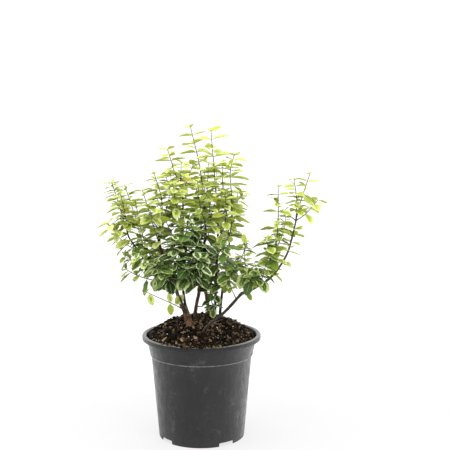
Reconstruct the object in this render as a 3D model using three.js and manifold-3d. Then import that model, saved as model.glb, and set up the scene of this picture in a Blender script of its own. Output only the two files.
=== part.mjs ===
// Potted euonymus: a young variegated bush with several woody stems in a round nursery pot.
// Millimetres, +Z up. The origin is the centre of the pot's underside and -Y is the front.
import * as THREE from "three";
import { mergeVertices } from "three/addons/utils/BufferGeometryUtils.js";
import Module from "manifold-3d";

const wasm = await Module();
wasm.setup();

// ---- driving dimensions ----
const GAP = 0.3; // clearance between pieces that touch
const AROUND = 32; // sides of the pot and of the soil

const POT = {
  height: 149.5,
  lipRadius: 85,
  mouthRadius: 79,
  lipDrop: 6.5, // how far the turned-down lip hangs
  collarTop: 78.3, // outer radius just under the lip
  collarBottom: 73.8, // outer radius just above the step
  stepHeight: 120, // the small step between collar and wall
  wallTop: 72.1,
  footRadius: 61.5,
  wall: 1.2,
  floorHeight: 6.6, // underside of the raised part of the floor
  padRadius: 28.5, // flat middle of the floor, which touches the ground
  ramp: 4.5, // how far the floor takes to rise round the flat middle
};
const NOTCH = { angles: [-53, 36, 126, 216], width: 24.5, height: 5.5, depth: 16 };
const DRAIN_HOLE = { radius: 4.5, orbit: 47, depth: 6, sides: 10 };

const SOIL = {
  edgeRadius: 75.6,
  edgeHeight: 145.5,
  rise: 26.5, // how far the middle of the heap stands above its edge
  steepness: 2.6,
  tilt: 1.4,
  lumps: 0.7,
  rings: [1, 0.93, 0.84, 0.72, 0.58, 0.42, 0.26, 0.12, 0], // shares of the edge radius
};

const WOODY = 1.4; // a twig thicker than this at its foot is a stem
const STOUT = 3; // and a stem thicker than this is rounder
const ROD = { stoutSides: 8, stemSides: 5, twigSides: 3, stemStretch: 16, twigStretch: 20 };

const LEAF = {
  widthRatio: 0.54,
  widest: 0.45, // where the blade is widest, as a share of its length
  thickness: 1.3,
  curl: 0.12, // how far the tip hangs below the blade's own plane
  shortest: 0.84, // the least of a twig's usual leaf length
  spread: 0.32, // and how much longer than that a leaf may be
  tipTaper: 0.36, // how much shorter the leaves at the end of a shoot are
};
// How the pairs of leaves sit along a twig. Angles are in degrees.
const PAIRS = {
  top: 0.98, // the last pair sits this far along a twig, just short of its end
  crowding: 0.3, // how much closer together the pairs are towards the end
  twigTurn: 80,
  leafTurn: 26,
  lift: -6,
  liftToEnd: 24,
  liftAtTip: 2,
  liftSpread: 14,
  ageDrop: 8,
  levelling: 0.65, // how much of its slope a leaf keeps as it turns to the light
  droop: 0.14,
  lean: 0.25, // how far a leaf's face follows the twig rather than the sky
  roll: 44,
  ageRoll: 24,
};
// A leaf that would touch another piece is turned round its twig and tilted by one of these, in degrees.
const LEAF_TURNS = [0, 28, -28, 56, -56, 14, -14];
const LEAF_TILTS = [0, 8, -8, 16, -16, 30, -30];

const COLOURS = {
  pot: 0x434343,
  soil: 0x261f17,
  bark: 0x6b5a40,
  darkBark: 0x3f3a26,
  newLeaf: 0xc4cd82,
  oldLeaf: 0x4d6430,
};

// ---- the plant ----
// Each row is one twig or stem: its node, what it grows on, where along that (0 to 1), its radius at
// the foot and at the tip, its leaves, and the points that it runs through after its foot. A stem
// that comes out of the soil, or starts beside another one, has its own foot as its first point.
// Leaves are [pairs, first, last, length, age]: first and last are places along the twig, and age
// runs from 0, a new pale shoot, to 1, old dark foliage. Rows with one node grow together as one.
const NO_LEAVES = [0, 0, 1, 0, 1];
const STEMS = [
  ["trunk", "soil", null, 5.8, 4.7, NO_LEAVES, [-14, -31, 146], [-17, -29, 169], [-20, -26, 181],
    [-24, -22, 192]],
  ["left_stem", "trunk", null, 2.6, 1.7, NO_LEAVES, [-26.5, -22.5, 191], [-31, -20, 204], [-38, -17, 222],
    [-48, -14, 246], [-56, -11, 270], [-60, -7, 293]],
  ["inner_left_stem", "trunk", null, 2, 1.2, NO_LEAVES, [-21.5, -20, 191], [-25, -12, 210], [-28, 0, 236],
    [-28, 6, 264], [-26, 7, 300], [-26, 6, 350]],
  ["front_stem", "trunk", 0.72, 1.7, 1.1, NO_LEAVES, [-24, -36, 197], [-30, -46, 214], [-35, -50, 236]],
  ["far_left_stem", "left_stem", 0.4, 1.6, 1.1, NO_LEAVES, [-54, -9, 237], [-74, -1, 255], [-92, 3, 272],
    [-103, 3, 288]],
  ["centre_stem", "soil", null, 2.9, 1.5, NO_LEAVES, [-10, -2, 150], [-8.6, 0, 182], [-4, 2, 206],
    [0.4, 5, 230], [3, 8, 262], [6, 10, 302]],
  ["bare_twig", "centre_stem", 0.26, 0.9, 0.5, NO_LEAVES, [-1, 4, 187], [5, 8, 190]],
  ["back_stem", "soil", null, 3.1, 1.5, NO_LEAVES, [11, 17, 148], [10, 16, 178], [8, 17, 192],
    [4, 21, 216], [-2, 28, 246], [-6, 35, 276]],
  ["back_right_stem", "soil", null, 2.3, 1.3, NO_LEAVES, [26, 24, 148], [27, 27, 180], [31, 34, 212],
    [37, 40, 244], [40, 43, 274]],
  ["upright_stem", "soil", null, 2.1, 1.4, [6, 0.24, 0.55, 17, 0.9], [19, 12, 150], [19.5, 11, 176],
    [20.5, 7, 228], [23, 4, 268], [24, 3, 310]],
  ["right_stem", "soil", null, 2.2, 2.2, NO_LEAVES, [0, -50, 146], [5, -46, 166], [33, -35, 188],
    [56.5, -25, 212]],
  ["right_limb", "right_stem", 1, 2, 1.2, [7, 0.3, 0.92, 21, 0.35], [75, -20, 219], [100, -14, 235],
    [120, -8, 263], [129, -3, 290], [134, 0, 311]],
];
const SHOOTS = [
  ["centre_tips", "centre_stem", 1, 1.1, 0.5, [9, 0.1, 1, 29, 0.1], [-1, 14, 380], [-15.5, 20, 445]],
  ["centre_tips", "centre_tips", 0.05, 0.8, 0.4, [7, 0.2, 1, 24, 0.2], [-4, 28, 336], [-10, 38, 370]],
  ["centre_tips", "centre_tips", 0.13, 0.8, 0.4, [7, 0.2, 1, 25, 0.15], [8, -4, 348], [11, -10, 396]],
  ["upright_tips", "upright_stem", 1, 1.1, 0.5, [9, 0.1, 1, 29, 0.1], [19, 8, 375], [14, 0, 440]],
  ["upright_tips", "upright_tips", 0.06, 0.8, 0.4, [6, 0.25, 1, 24, 0.25], [44, 14, 330], [60, 20, 350]],
  ["upright_tips", "upright_tips", 0.12, 0.8, 0.4, [7, 0.2, 1, 25, 0.15], [29, -8, 352], [31, -12, 398]],
  ["inner_left_tips", "inner_left_stem", 1, 1, 0.5, [7, 0.14, 1, 27, 0.12], [-37, 4, 380], [-47, 0, 414]],
  ["inner_left_tips", "inner_left_tips", 0.05, 0.8, 0.4, [5, 0.3, 1, 21, 0.15], [-18, 13, 372],
    [-12, 20, 391]],
  ["inner_left_tips", "inner_left_tips", 0.12, 0.8, 0.4, [5, 0.25, 1, 21, 0.2], [-28, -9, 372],
    [-27, -16, 396]],
  ["upright_shoot_1", "upright_stem", 0.71, 1.2, 0.5, [10, 0.4, 1, 25, 0.2], [34, 1, 281], [42, 0, 300],
    [43, 0, 345], [41, 0, 380], [47, 0, 407]],
  ["left_tips", "left_stem", 1, 1, 0.5, [9, 0.12, 1, 25, 0.2], [-55, -3, 338], [-66, 0, 380]],
  ["left_tips", "left_tips", 0.08, 0.8, 0.4, [6, 0.25, 1, 23, 0.3], [-66, -30, 316], [-70, -44, 340]],
  ["left_tips", "left_tips", 0.14, 0.8, 0.4, [6, 0.22, 1, 23, 0.2], [-47, 12, 338], [-43, 18, 376]],
  ["left_shoot_5", "left_stem", 0.82, 1, 0.5, [10, 0.16, 1, 24, 0.25], [-68, -16, 312], [-81, -20, 358]],
  ["far_left_tips", "far_left_stem", 1, 1, 0.5, [12, 0.1, 1, 21, 0.5], [-114, 5, 325], [-127, 10, 366]],
  ["far_left_tips", "far_left_tips", 0.06, 0.8, 0.4, [6, 0.25, 1, 24, 0.3], [-118, -10, 298],
    [-131, -20, 311]],
  ["far_left_tips", "far_left_tips", 0.14, 0.8, 0.4, [8, 0.22, 1, 22, 0.4], [-106, -10, 318],
    [-112, -14, 352]],
  ["far_left_shoot_2", "far_left_stem", 0.58, 1, 0.5, [12, 0.16, 1, 21, 0.5], [-92, 16, 306],
    [-111, 30, 361]],
  ["far_left_shoot_3", "far_left_stem", 0.4, 1, 0.5, [10, 0.16, 1, 24, 0.3], [-82, -10, 292],
    [-92, -12, 342]],
  ["inner_left_shoot_4", "inner_left_stem", 0.755, 0.9, 0.5, [8, 0.2, 1, 24, 0.25], [-38, 14, 335],
    [-51, 25, 373]],
  ["inner_left_shoot_4", "inner_left_shoot_4", 0.35, 0.7, 0.4, [5, 0.25, 1, 22, 0.3], [-56, 18, 326],
    [-66, 20, 350]],
  ["inner_left_shoot_5", "inner_left_stem", 0.84, 0.9, 0.5, [8, 0.2, 1, 24, 0.25], [-34, -14, 334],
    [-38, -28, 366]],
  ["right_tips", "right_limb", 1, 1, 0.5, [5, 0.3, 1, 22, 0.25], [135, 0, 340], [131, 0, 371]],
  ["right_tips", "right_tips", 0.03, 0.8, 0.5, [5, 0.35, 1, 24, 0.15], [142, 5, 342], [154, 10, 378]],
  ["right_tips", "right_tips", 0.02, 0.8, 0.5, [4, 0.5, 1, 22, 0.2], [148, -5, 323], [164, -10, 343]],
  ["right_tips", "right_tips", 0.02, 0.7, 0.4, [1, 1, 1, 14, 0.3], [124, -5, 321], [118, -8, 329]],
  ["right_shoot_1", "right_limb", 0.4, 1.2, 0.5, [11, 0.12, 1, 24, 0.5], [104, -13, 272], [108, -12, 310],
    [108, -10, 364]],
  ["right_shoot_1", "right_shoot_1", 0.12, 0.8, 0.4, [5, 0.3, 1, 23, 0.6], [96, -22, 270], [90, -28, 292]],
  ["right_shoot_1", "right_shoot_1", 0.3, 0.8, 0.4, [4, 0.3, 1, 22, 0.5], [116, -2, 296], [120, 4, 318]],
  ["right_shoot_2", "right_limb", 0.1, 0.9, 0.5, [6, 0.2, 1, 19, 0.45], [62, -22, 250], [61, -22, 286]],
  ["right_shoot_2", "right_shoot_2", 0.06, 0.8, 0.4, [3, 0.4, 1, 21, 0.8], [70, -32, 234], [78, -38, 246]],
  ["right_shoot_3", "right_stem", 0.9, 0.7, 0.4, [3, 0.5, 1, 17, 0.5], [42, -26, 222], [39, -24, 240]],
  ["right_shoot_4", "right_limb", 0.26, 0.8, 0.4, [4, 0.3, 1, 20, 0.75], [87, -24, 238], [91, -30, 256]],
  ["right_shoot_4", "right_shoot_4", 0.12, 0.7, 0.4, [4, 0.3, 1, 23, 0.8], [80, -14, 241], [75, -10, 254]],
  ["low_left_twig", "trunk", 0.86, 0.8, 0.5, [1, 1, 1, 12, 0.3], [-35, -32, 197], [-56, -38, 208],
    [-76, -40, 218]],
  ["left_shoot_1", "left_stem", 0.44, 1, 0.5, [5, 0.3, 1, 26, 0.6], [-62, -18, 229], [-88, -18, 236],
    [-106, -18, 246]],
  ["left_shoot_2", "left_stem", 0.36, 0.9, 0.5, [5, 0.3, 1, 25, 0.85], [-54, -36, 242], [-70, -46, 260]],
  ["left_shoot_3", "left_stem", 0.52, 0.9, 0.5, [6, 0.25, 1, 27, 0.75], [-66, -28, 252], [-88, -34, 272]],
  ["left_shoot_4", "left_stem", 0.69, 0.9, 0.5, [6, 0.25, 1, 25, 0.6], [-58, 6, 272], [-62, 24, 300]],
  ["far_left_shoot_5", "far_left_stem", 0.7, 0.8, 0.4, [5, 0.25, 1, 24, 0.5], [-108, 16, 276],
    [-126, 26, 292]],
  ["far_left_shoot_6", "far_left_stem", 0.32, 0.8, 0.4, [4, 0.35, 1, 25, 0.6], [-84, -8, 252],
    [-108, -8, 262]],
  ["inner_left_shoot_1", "inner_left_stem", 0.34, 0.9, 0.5, [5, 0.25, 1, 27, 0.8], [-46, 16, 240],
    [-62, 34, 262]],
  ["inner_left_shoot_2", "inner_left_stem", 0.5, 0.9, 0.5, [5, 0.22, 1, 26, 0.7], [-30, -22, 272],
    [-30, -38, 298]],
  ["inner_left_shoot_3", "inner_left_stem", 0.64, 0.9, 0.5, [5, 0.22, 1, 24, 0.6], [-44, 22, 292],
    [-56, 34, 318]],
  ["front_shoot_1", "front_stem", 0.74, 0.9, 0.5, [4, 0.4, 1, 25, 0.85], [-46, -48, 240], [-64, -56, 256]],
  ["front_shoot_2", "front_stem", 0.86, 0.9, 0.5, [5, 0.35, 1, 25, 0.9], [-12, -56, 246], [2, -66, 264]],
  ["front_shoot_3", "front_stem", 0.93, 0.8, 0.4, [5, 0.25, 1, 25, 0.8], [-50, -62, 248], [-62, -70, 268]],
  ["front_tips", "front_stem", 1, 0.9, 0.4, [7, 0.13, 1, 25, 0.75], [-33, -58, 266], [-36, -60, 300]],
  ["front_tips", "front_tips", 0.11, 0.8, 0.4, [5, 0.22, 1, 26, 0.75], [-16, -64, 256], [-6, -72, 280]],
  ["front_tips", "front_tips", 0.4, 0.8, 0.4, [6, 0.22, 1, 24, 0.5], [-22, -52, 292], [-14, -48, 330]],
  ["centre_shoot_1", "centre_stem", 0.5, 1, 0.5, [5, 0.28, 1, 25, 0.95], [-4, -20, 242], [2, -38, 268]],
  ["centre_shoot_2", "centre_stem", 0.63, 1, 0.5, [5, 0.22, 1, 27, 0.8], [6, -16, 256], [10, -34, 280]],
  ["centre_shoot_3", "centre_stem", 0.76, 0.9, 0.5, [5, 0.22, 1, 25, 0.7], [-8, -12, 284],
    [-10, -28, 316]],
  ["centre_shoot_4", "centre_stem", 0.87, 0.9, 0.5, [6, 0.2, 1, 24, 0.3], [13, -14, 306], [12, -26, 342]],
  ["centre_shoot_4", "centre_shoot_4", 0.4, 0.8, 0.4, [7, 0.2, 1, 23, 0.25], [0, -28, 332], [-4, -34, 372]],
  ["back_shoot_1", "back_stem", 0.46, 0.9, 0.5, [5, 0.4, 1, 26, 0.85], [-8, 40, 228], [-18, 56, 250]],
  ["back_shoot_2", "back_stem", 0.6, 0.9, 0.5, [5, 0.25, 1, 27, 0.8], [12, 46, 234], [10, 66, 258]],
  ["back_shoot_3", "back_stem", 0.76, 0.9, 0.5, [5, 0.22, 1, 26, 0.7], [-22, 46, 256], [-40, 60, 282]],
  ["back_shoot_4", "back_stem", 0.86, 0.9, 0.5, [5, 0.22, 1, 25, 0.65], [6, 56, 280], [2, 70, 312]],
  ["back_tips", "back_stem", 1, 1, 0.5, [9, 0.1, 1, 23, 0.25], [2, 44, 322], [4, 48, 380]],
  ["back_tips", "back_tips", 0.07, 0.8, 0.4, [6, 0.21, 1, 24, 0.35], [-26, 50, 302], [-38, 58, 336]],
  ["back_tips", "back_tips", 0.18, 0.8, 0.4, [7, 0.22, 1, 23, 0.25], [18, 40, 328], [22, 36, 384]],
  ["back_right_shoot_1", "back_right_stem", 0.44, 0.9, 0.5, [4, 0.35, 1, 24, 0.8], [42, 44, 226],
    [50, 54, 248]],
  ["back_right_shoot_2", "back_right_stem", 0.61, 0.9, 0.5, [5, 0.22, 1, 26, 0.7], [54, 44, 244],
    [66, 54, 272]],
  ["back_right_tips", "back_right_stem", 1, 1, 0.5, [8, 0.12, 1, 23, 0.25], [36, 40, 320], [30, 40, 370]],
  ["back_right_tips", "back_right_tips", 0.05, 0.8, 0.4, [5, 0.22, 1, 25, 0.5], [36, 64, 288],
    [32, 76, 310]],
  ["back_right_tips", "back_right_tips", 0.2, 0.8, 0.4, [5, 0.22, 1, 23, 0.3], [50, 34, 318],
    [52, 28, 350]],
  ["upright_shoot_3", "upright_stem", 0.43, 0.9, 0.5, [5, 0.25, 1, 25, 0.7], [38, -10, 230],
    [50, -22, 252]],
  ["upright_shoot_4", "upright_stem", 0.6, 0.9, 0.5, [5, 0.22, 1, 25, 0.7], [30, -18, 262],
    [34, -34, 292]],
  ["upright_shoot_5", "upright_stem", 0.845, 0.9, 0.5, [7, 0.2, 1, 23, 0.25], [34, -18, 312],
    [34, -26, 356]],
  ["upright_shoot_6", "upright_stem", 0.24, 0.9, 0.4, [5, 0.25, 1, 18, 0.9], [14, -2, 200], [14, -10, 226]],
];
// Single leaves that stand out from the rest. Each row is the node, which of the node's twigs it grows
// on and where along that, where the leaf points, where its upper side faces, and its length.
const BROAD_LEAVES = [
  ["upright_shoot_1", 0, 0.51, [0.93, -0.3, 0.1], [0, -0.85, 0.5], 20],
  ["upright_shoot_1", 0, 0.94, [-0.4, -0.75, -0.45], [0, -0.6, 0.8], 14],
  ["upright_stem", 0, 0.94, [0.7, -0.55, -0.45], [0.1, -0.85, 0.5], 23],
  ["upright_stem", 0, 0.27, [0.5, -0.5, -0.7], [0, -0.8, 0.5], 15],
  ["upright_stem", 0, 0.33, [-0.5, -0.5, -0.7], [0, -0.8, 0.5], 15],
  ["upright_stem", 0, 0.39, [0.4, -0.6, -0.7], [0, -0.8, 0.5], 16],
  ["upright_stem", 0, 0.45, [-0.4, -0.6, -0.7], [0, -0.8, 0.5], 16],
  ["upright_stem", 0, 0.51, [0.5, -0.45, -0.7], [0, -0.8, 0.5], 17],
  ["upright_tips", 0, 0.99, [0.85, -0.35, 0.4], [-0.2, -0.85, 0.5], 16],
  ["upright_tips", 0, 0.78, [0.8, -0.5, -0.15], [0, -0.75, 0.65], 18],
  ["upright_tips", 0, 0.81, [-0.7, -0.65, 0.2], [0, -0.85, 0.5], 14],
  ["inner_left_tips", 0, 0.88, [0.6, -0.7, 0.1], [0, -0.8, 0.6], 13],
  ["front_tips", 0, 0.42, [0.75, -0.6, -0.2], [0, -0.9, 0.4], 18],
  ["right_shoot_2", 0, 0.95, [-0.1, -0.35, 0.9], [0, -0.95, -0.3], 15],
  ["right_shoot_2", 0, 0.4, [-0.35, -0.4, -0.85], [0, -0.9, 0.4], 25],
  ["right_shoot_2", 0, 0.5, [0.7, -0.1, -0.7], [0.3, -0.8, 0.5], 28],
  ["right_shoot_1", 0, 0.16, [-0.93, -0.3, 0.1], [0, -0.7, 0.7], 23],
  ["right_shoot_1", 0, 0.26, [-0.88, -0.35, 0.3], [0, -0.65, 0.75], 18],
  ["right_shoot_1", 0, 0.69, [-0.25, -0.8, -0.5], [0, -0.6, 0.8], 16],
  ["right_limb", 0, 0.96, [-0.9, -0.35, 0.15], [0, -0.7, 0.7], 21],
  ["right_limb", 0, 0.09, [0.45, -0.3, -0.84], [0.1, -0.9, 0.4], 14],
  ["low_left_twig", 0, 0.46, [0.05, -0.3, -0.95], [0, -0.9, 0.3], 17],
  ["low_left_twig", 0, 0.44, [-0.2, -0.25, 0.93], [0, -0.95, -0.2], 16],
  ["low_left_twig", 0, 0.36, [0.6, -0.3, 0.75], [0, -0.9, 0.3], 20],
  ["low_left_twig", 0, 0.93, [0.3, -0.3, -0.9], [0, -0.9, 0.3], 18],
  ["right_tips", 0, 0.5, [0.1, -0.9, -0.35], [0, -0.5, 0.85], 17],
  ["right_tips", 1, 0.6, [0.65, -0.35, -0.68], [0.25, -0.85, 0.4], 21],
  ["far_left_stem", 0, 0.95, [-0.85, -0.35, -0.4], [0, -0.5, 0.85], 25],
  ["left_tips", 0, 0.3, [-0.5, -0.8, -0.3], [-0.1, -0.6, 0.8], 24],
  ["centre_shoot_3", 0, 0.6, [0.3, -0.85, -0.4], [0, -0.5, 0.85], 26],
  ["inner_left_stem", 0, 0.9, [0.2, -0.9, -0.3], [0.1, -0.6, 0.8], 24],
];

// ---- solids ----
// A closed geometry as a manifold-3d solid, with its shared vertices merged.
function solidOf(geometry) {
  const bare = geometry.clone().deleteAttribute("normal").deleteAttribute("uv");
  const merged = mergeVertices(bare);
  return new wasm.Manifold(new wasm.Mesh({
    numProp: 3,
    vertProperties: new Float32Array(merged.attributes.position.array),
    triVerts: new Uint32Array(merged.index.array),
  }));
}

function geometryOf(solid) {
  const mesh = solid.getMesh();
  const geometry = new THREE.BufferGeometry();
  geometry.setAttribute("position", new THREE.BufferAttribute(mesh.vertProperties, 3));
  geometry.setIndex(new THREE.BufferAttribute(mesh.triVerts, 1));
  geometry.computeVertexNormals();
  return geometry;
}

// Turns a closed outline of [radius, height] points round +Z.
function lathe(outline) {
  const profile = outline.map(([radius, height]) => new THREE.Vector2(radius, height));
  return new THREE.LatheGeometry(profile, AROUND).rotateX(Math.PI / 2);
}

// ---- pot ----
// The wall's inner radius at a height between the floor and the lip.
function innerRadius(height) {
  const below = height < POT.stepHeight;
  const [z0, r0] = below ? [0, POT.footRadius] : [POT.stepHeight, POT.collarBottom];
  const [z1, r1] = below ? [POT.stepHeight, POT.wallTop] : [POT.height - POT.lipDrop, POT.collarTop];
  return r0 + ((r1 - r0) * (height - z0)) / (z1 - z0) - POT.wall;
}

function potOutline() {
  const { height, lipRadius, mouthRadius, lipDrop, collarTop, collarBottom, stepHeight } = POT;
  const { wallTop, footRadius, wall, floorHeight, padRadius } = POT;
  const lipFoot = height - lipDrop;
  const ramp = padRadius + POT.ramp;
  return [
    [0, 0], [padRadius, 0], [ramp, floorHeight], [footRadius - 2, floorHeight], [footRadius - wall, 0],
    [footRadius, 0], [wallTop, stepHeight - 1], [collarBottom - 0.2, stepHeight],
    [collarBottom, stepHeight + 1.8], [collarTop, lipFoot], [mouthRadius + 0.8, height - wall - 0.3],
    [lipRadius - wall, height - wall - 0.3], [lipRadius - wall, lipFoot], [lipRadius, lipFoot],
    [lipRadius, height - 1.4], [lipRadius - 1.4, height],
    [mouthRadius + 1.2, height], [mouthRadius, height - 0.8], [collarTop - wall, lipFoot],
    [innerRadius(stepHeight + 1.8), stepHeight + 1.8], [innerRadius(stepHeight - 1), stepHeight - 1],
    [innerRadius(floorHeight + wall), floorHeight + wall], [ramp - wall, floorHeight + wall],
    [padRadius - wall, wall], [0, wall],
  ];
}

function makePot() {
  let pot = solidOf(lathe(potOutline()));
  for (const angle of NOTCH.angles) {
    const turn = THREE.MathUtils.degToRad(angle - 90); // measured from the front towards +X
    const cut = new THREE.BoxGeometry(NOTCH.depth, NOTCH.width, 2 * NOTCH.height);
    cut.translate(POT.footRadius, 0, 0).rotateZ(turn);
    pot = pot.subtract(solidOf(cut));
    const { radius, orbit, depth, sides } = DRAIN_HOLE;
    const hole = new THREE.CylinderGeometry(radius, radius, depth, sides);
    hole.rotateX(Math.PI / 2).translate(orbit, 0, POT.floorHeight).rotateZ(turn);
    pot = pot.subtract(solidOf(hole));
  }
  return pot;
}

// ---- soil ----
// The height of the heaped soil at a place.
function soilTop(x, y) {
  const out = Math.hypot(x, y) / SOIL.edgeRadius;
  const heap = SOIL.rise * (1 - Math.pow(out, SOIL.steepness));
  const lumps = Math.sin(0.23 * x + 1.3) * Math.cos(0.19 * y - 0.4) + 0.5 * Math.sin(0.41 * x - 0.37 * y);
  return SOIL.edgeHeight + heap + (SOIL.tilt * (y - x)) / SOIL.edgeRadius + SOIL.lumps * lumps;
}

function makeSoil(stems) {
  const floor = POT.floorHeight + POT.wall + GAP;
  const ramp = POT.padRadius + POT.ramp - POT.wall;
  const side = (height) => [innerRadius(height) - 2 * GAP, height];
  const outline = [
    [0, POT.wall + GAP], [POT.padRadius - POT.wall - GAP, POT.wall + GAP], [ramp - GAP, floor], side(floor),
    side(60), side(POT.stepHeight - 1.4), side(POT.stepHeight + 2.2), side(POT.height - POT.lipDrop - 1),
    ...SOIL.rings.map((share) => [share * SOIL.edgeRadius, SOIL.edgeHeight]),
  ];
  const geometry = lathe(outline);
  const place = geometry.attributes.position;
  for (let i = 0; i < place.count; i++) {
    const onHeap = Math.abs(place.getZ(i) - SOIL.edgeHeight) < 0.01;
    if (onHeap) place.setZ(i, soilTop(place.getX(i), place.getY(i)));
  }
  return stems.reduce((soil, stem) => soil.subtract(stem), solidOf(geometry));
}

// ---- stems and twigs ----
function curveThrough(points) {
  const path = points.map((point) => new THREE.Vector3(...point));
  return new THREE.CatmullRomCurve3(path, false, "catmullrom", 0.5);
}

// How many straight stretches a stem's rod has.
function stretches(curve, foot) {
  return Math.max(3, Math.ceil(curve.getLength() / (foot > WOODY ? ROD.stemStretch : ROD.twigStretch)));
}

// The nearest place to a point on the middle line of the straight stretches.
function ontoSpine(point, spine) {
  const places = spine.slice(1).map((end, i) =>
    new THREE.Line3(spine[i], end).closestPointToPoint(point, true, new THREE.Vector3()));
  return places.reduce((best, place) => place.distanceTo(point) < best.distanceTo(point) ? place : best);
}

// A closed round rod that tapers along a curve; grow makes it thicker and longer all round.
function rod(curve, foot, tip, grow = 0) {
  const sides = foot > STOUT ? ROD.stoutSides : foot > WOODY ? ROD.stemSides : ROD.twigSides;
  const steps = stretches(curve, foot);
  const frames = curve.computeFrenetFrames(steps, false);
  const geometry = new THREE.CylinderGeometry(1, 1, 1, sides, steps);
  const place = geometry.attributes.position;
  for (let i = 0; i < place.count; i++) {
    const along = place.getY(i) + 0.5;
    const ring = Math.round(along * steps);
    const radius = THREE.MathUtils.lerp(foot, tip, along) + grow;
    const point = curve.getPointAt(along)
      .addScaledVector(frames.normals[ring], place.getX(i) * radius)
      .addScaledVector(frames.binormals[ring], -place.getZ(i) * radius);
    if (ring === 0) point.addScaledVector(frames.tangents[0], -grow);
    if (ring === steps) point.addScaledVector(frames.tangents[steps], grow);
    place.setXYZ(i, point.x, point.y, point.z);
  }
  return solidOf(geometry);
}

// ---- leaves ----
// A repeatable number from 0 to 1 for a twig and one of its leaves.
function chance(twig, leaf) {
  const wave = Math.sin(twig * 12.9898 + leaf * 78.233) * 43758.5453;
  return wave - Math.floor(wave);
}

const UP = new THREE.Vector3(0, 0, 1);
const ACROSS = new THREE.Vector3(0.55, 0.8, -0.25).normalize();

// Where one leaf of a twig sits, which way it points and how long it is. Leaves grow in opposite
// pairs, each pair a quarter turn from the last, and old ones hang while new ones stand.
function leafPose(twig, number, side, choice) {
  const [pairs, first, last, length, age] = twig.leaves;
  const share = pairs > 1 ? number / (pairs - 1) : 1;
  const eased = share * (1 + PAIRS.crowding * (1 - share));
  const along = first + (PAIRS.top * last - first) * eased;
  const foot = ontoSpine(twig.curve.getPoint(along), twig.spine);
  const stem = twig.curve.getTangent(along);
  const east = ACROSS.clone().addScaledVector(stem, -ACROSS.dot(stem)).normalize();
  const north = stem.clone().cross(east);
  const key = 10 * number + 4 * side;
  const swing = PAIRS.twigTurn * chance(twig.seed, 1) + PAIRS.leafTurn * chance(twig.seed, key + 2);
  const turn = 90 * number + 180 * side + swing + LEAF_TURNS[choice];
  const atTip = last === 1 && number === pairs - 1;
  const lift = PAIRS.lift + PAIRS.liftToEnd * share - PAIRS.ageDrop * age + (atTip ? PAIRS.liftAtTip : 0) +
    PAIRS.liftSpread * (chance(twig.seed, key + 3) - 0.5);
  const around = THREE.MathUtils.degToRad(turn);
  const raised = THREE.MathUtils.degToRad(lift + LEAF_TILTS[choice]);
  const out = east.clone().multiplyScalar(Math.cos(around)).addScaledVector(north, Math.sin(around));
  const ahead = out.multiplyScalar(Math.cos(raised)).addScaledVector(stem, Math.sin(raised));
  ahead.z = PAIRS.levelling * ahead.z - PAIRS.droop * age * (1 - 0.5 * share);
  ahead.normalize();
  const face = UP.clone().addScaledVector(stem, PAIRS.lean);
  face.addScaledVector(ahead, -face.dot(ahead)).normalize();
  const roll = (PAIRS.roll + PAIRS.ageRoll * age) * (chance(twig.seed, key + 4) - 0.5);
  face.applyAxisAngle(ahead, THREE.MathUtils.degToRad(roll));
  const taper = last === 1 ? 1 - LEAF.tipTaper * share ** 4 : 1;
  const size = LEAF.shortest + LEAF.spread * chance(twig.seed, key + 5);
  return { foot, ahead, face, length: length * taper * size };
}

// The same for one of the leaves that stand out.
function broadPose([node, which, at, heading, facing, length]) {
  const twig = twigs.filter((other) => other.node === node)[which];
  const foot = ontoSpine(twig.curve.getPoint(at), twig.spine);
  const ahead = new THREE.Vector3(...heading).normalize();
  const face = new THREE.Vector3(...facing);
  face.addScaledVector(ahead, -face.dot(ahead)).normalize();
  return { foot, ahead, face, length };
}

// A sphere of three sides and two rows has the points of a leaf: stalk, tip, two edges and midrib.
const BLADE = new THREE.SphereGeometry(1, 3, 2);

// A thin leaf blade with its stalk end on the twig's middle line; grow thickens it all round.
function leafSolid({ foot, ahead, face, length }, grow = 0) {
  const aside = ahead.clone().cross(face);
  const blade = BLADE.clone();
  const place = blade.attributes.position;
  for (let i = 0; i < place.count; i++) {
    const point = foot.clone();
    if (place.getY(i) > 0.5) {
      point.addScaledVector(ahead, length + grow).addScaledVector(face, -LEAF.curl * length);
    } else if (place.getY(i) > -0.5) {
      const edge = Math.sign(Math.round(place.getZ(i)));
      point.addScaledVector(ahead, LEAF.widest * length);
      point.addScaledVector(aside, edge * (0.5 * LEAF.widthRatio * length + grow));
      point.addScaledVector(face, edge ? -grow : LEAF.thickness + grow);
    }
    place.setXYZ(i, point.x, point.y, point.z);
  }
  return solidOf(blade);
}

function apart(a, b) {
  return [0, 1, 2].some((axis) => a.min[axis] > b.max[axis] || a.max[axis] < b.min[axis]);
}

// Adds a leaf to the pieces in the first of some poses that is clear of the others, or leaves it out.
// A leaf may touch only its own node's wood and the leaf across from it.
function addLeaf(node, pair, poses, pieces) {
  for (const pose of poses) {
    const room = leafSolid(pose, GAP);
    const box = room.boundingBox();
    const near = pieces.filter((other) => !apart(box, other.box) && other.pair !== pair &&
      (other.pair || other.node !== node));
    if (near.some((other) => room.intersect(other.solid).volume() > 0)) continue;
    const solid = leafSolid(pose);
    pieces.push({ node, pair, solid, box: solid.boundingBox() });
    return;
  }
}

function addLeaves(twig, pieces) {
  for (let number = 0; number < twig.leaves[0]; number++) {
    for (const side of [0, 1]) {
      const poses = LEAF_TURNS.map((turn, choice) => leafPose(twig, number, side, choice));
      addLeaf(twig.node, `${twig.seed}:${number}`, poses, pieces);
    }
  }
}

// ---- assembly ----
const root = new THREE.Group();

function addNode(name, solid, colour, roughness) {
  const material = new THREE.MeshStandardMaterial({ color: colour, roughness, metalness: 0 });
  const mesh = new THREE.Mesh(geometryOf(solid), material);
  mesh.name = name;
  root.add(mesh);
}

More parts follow.
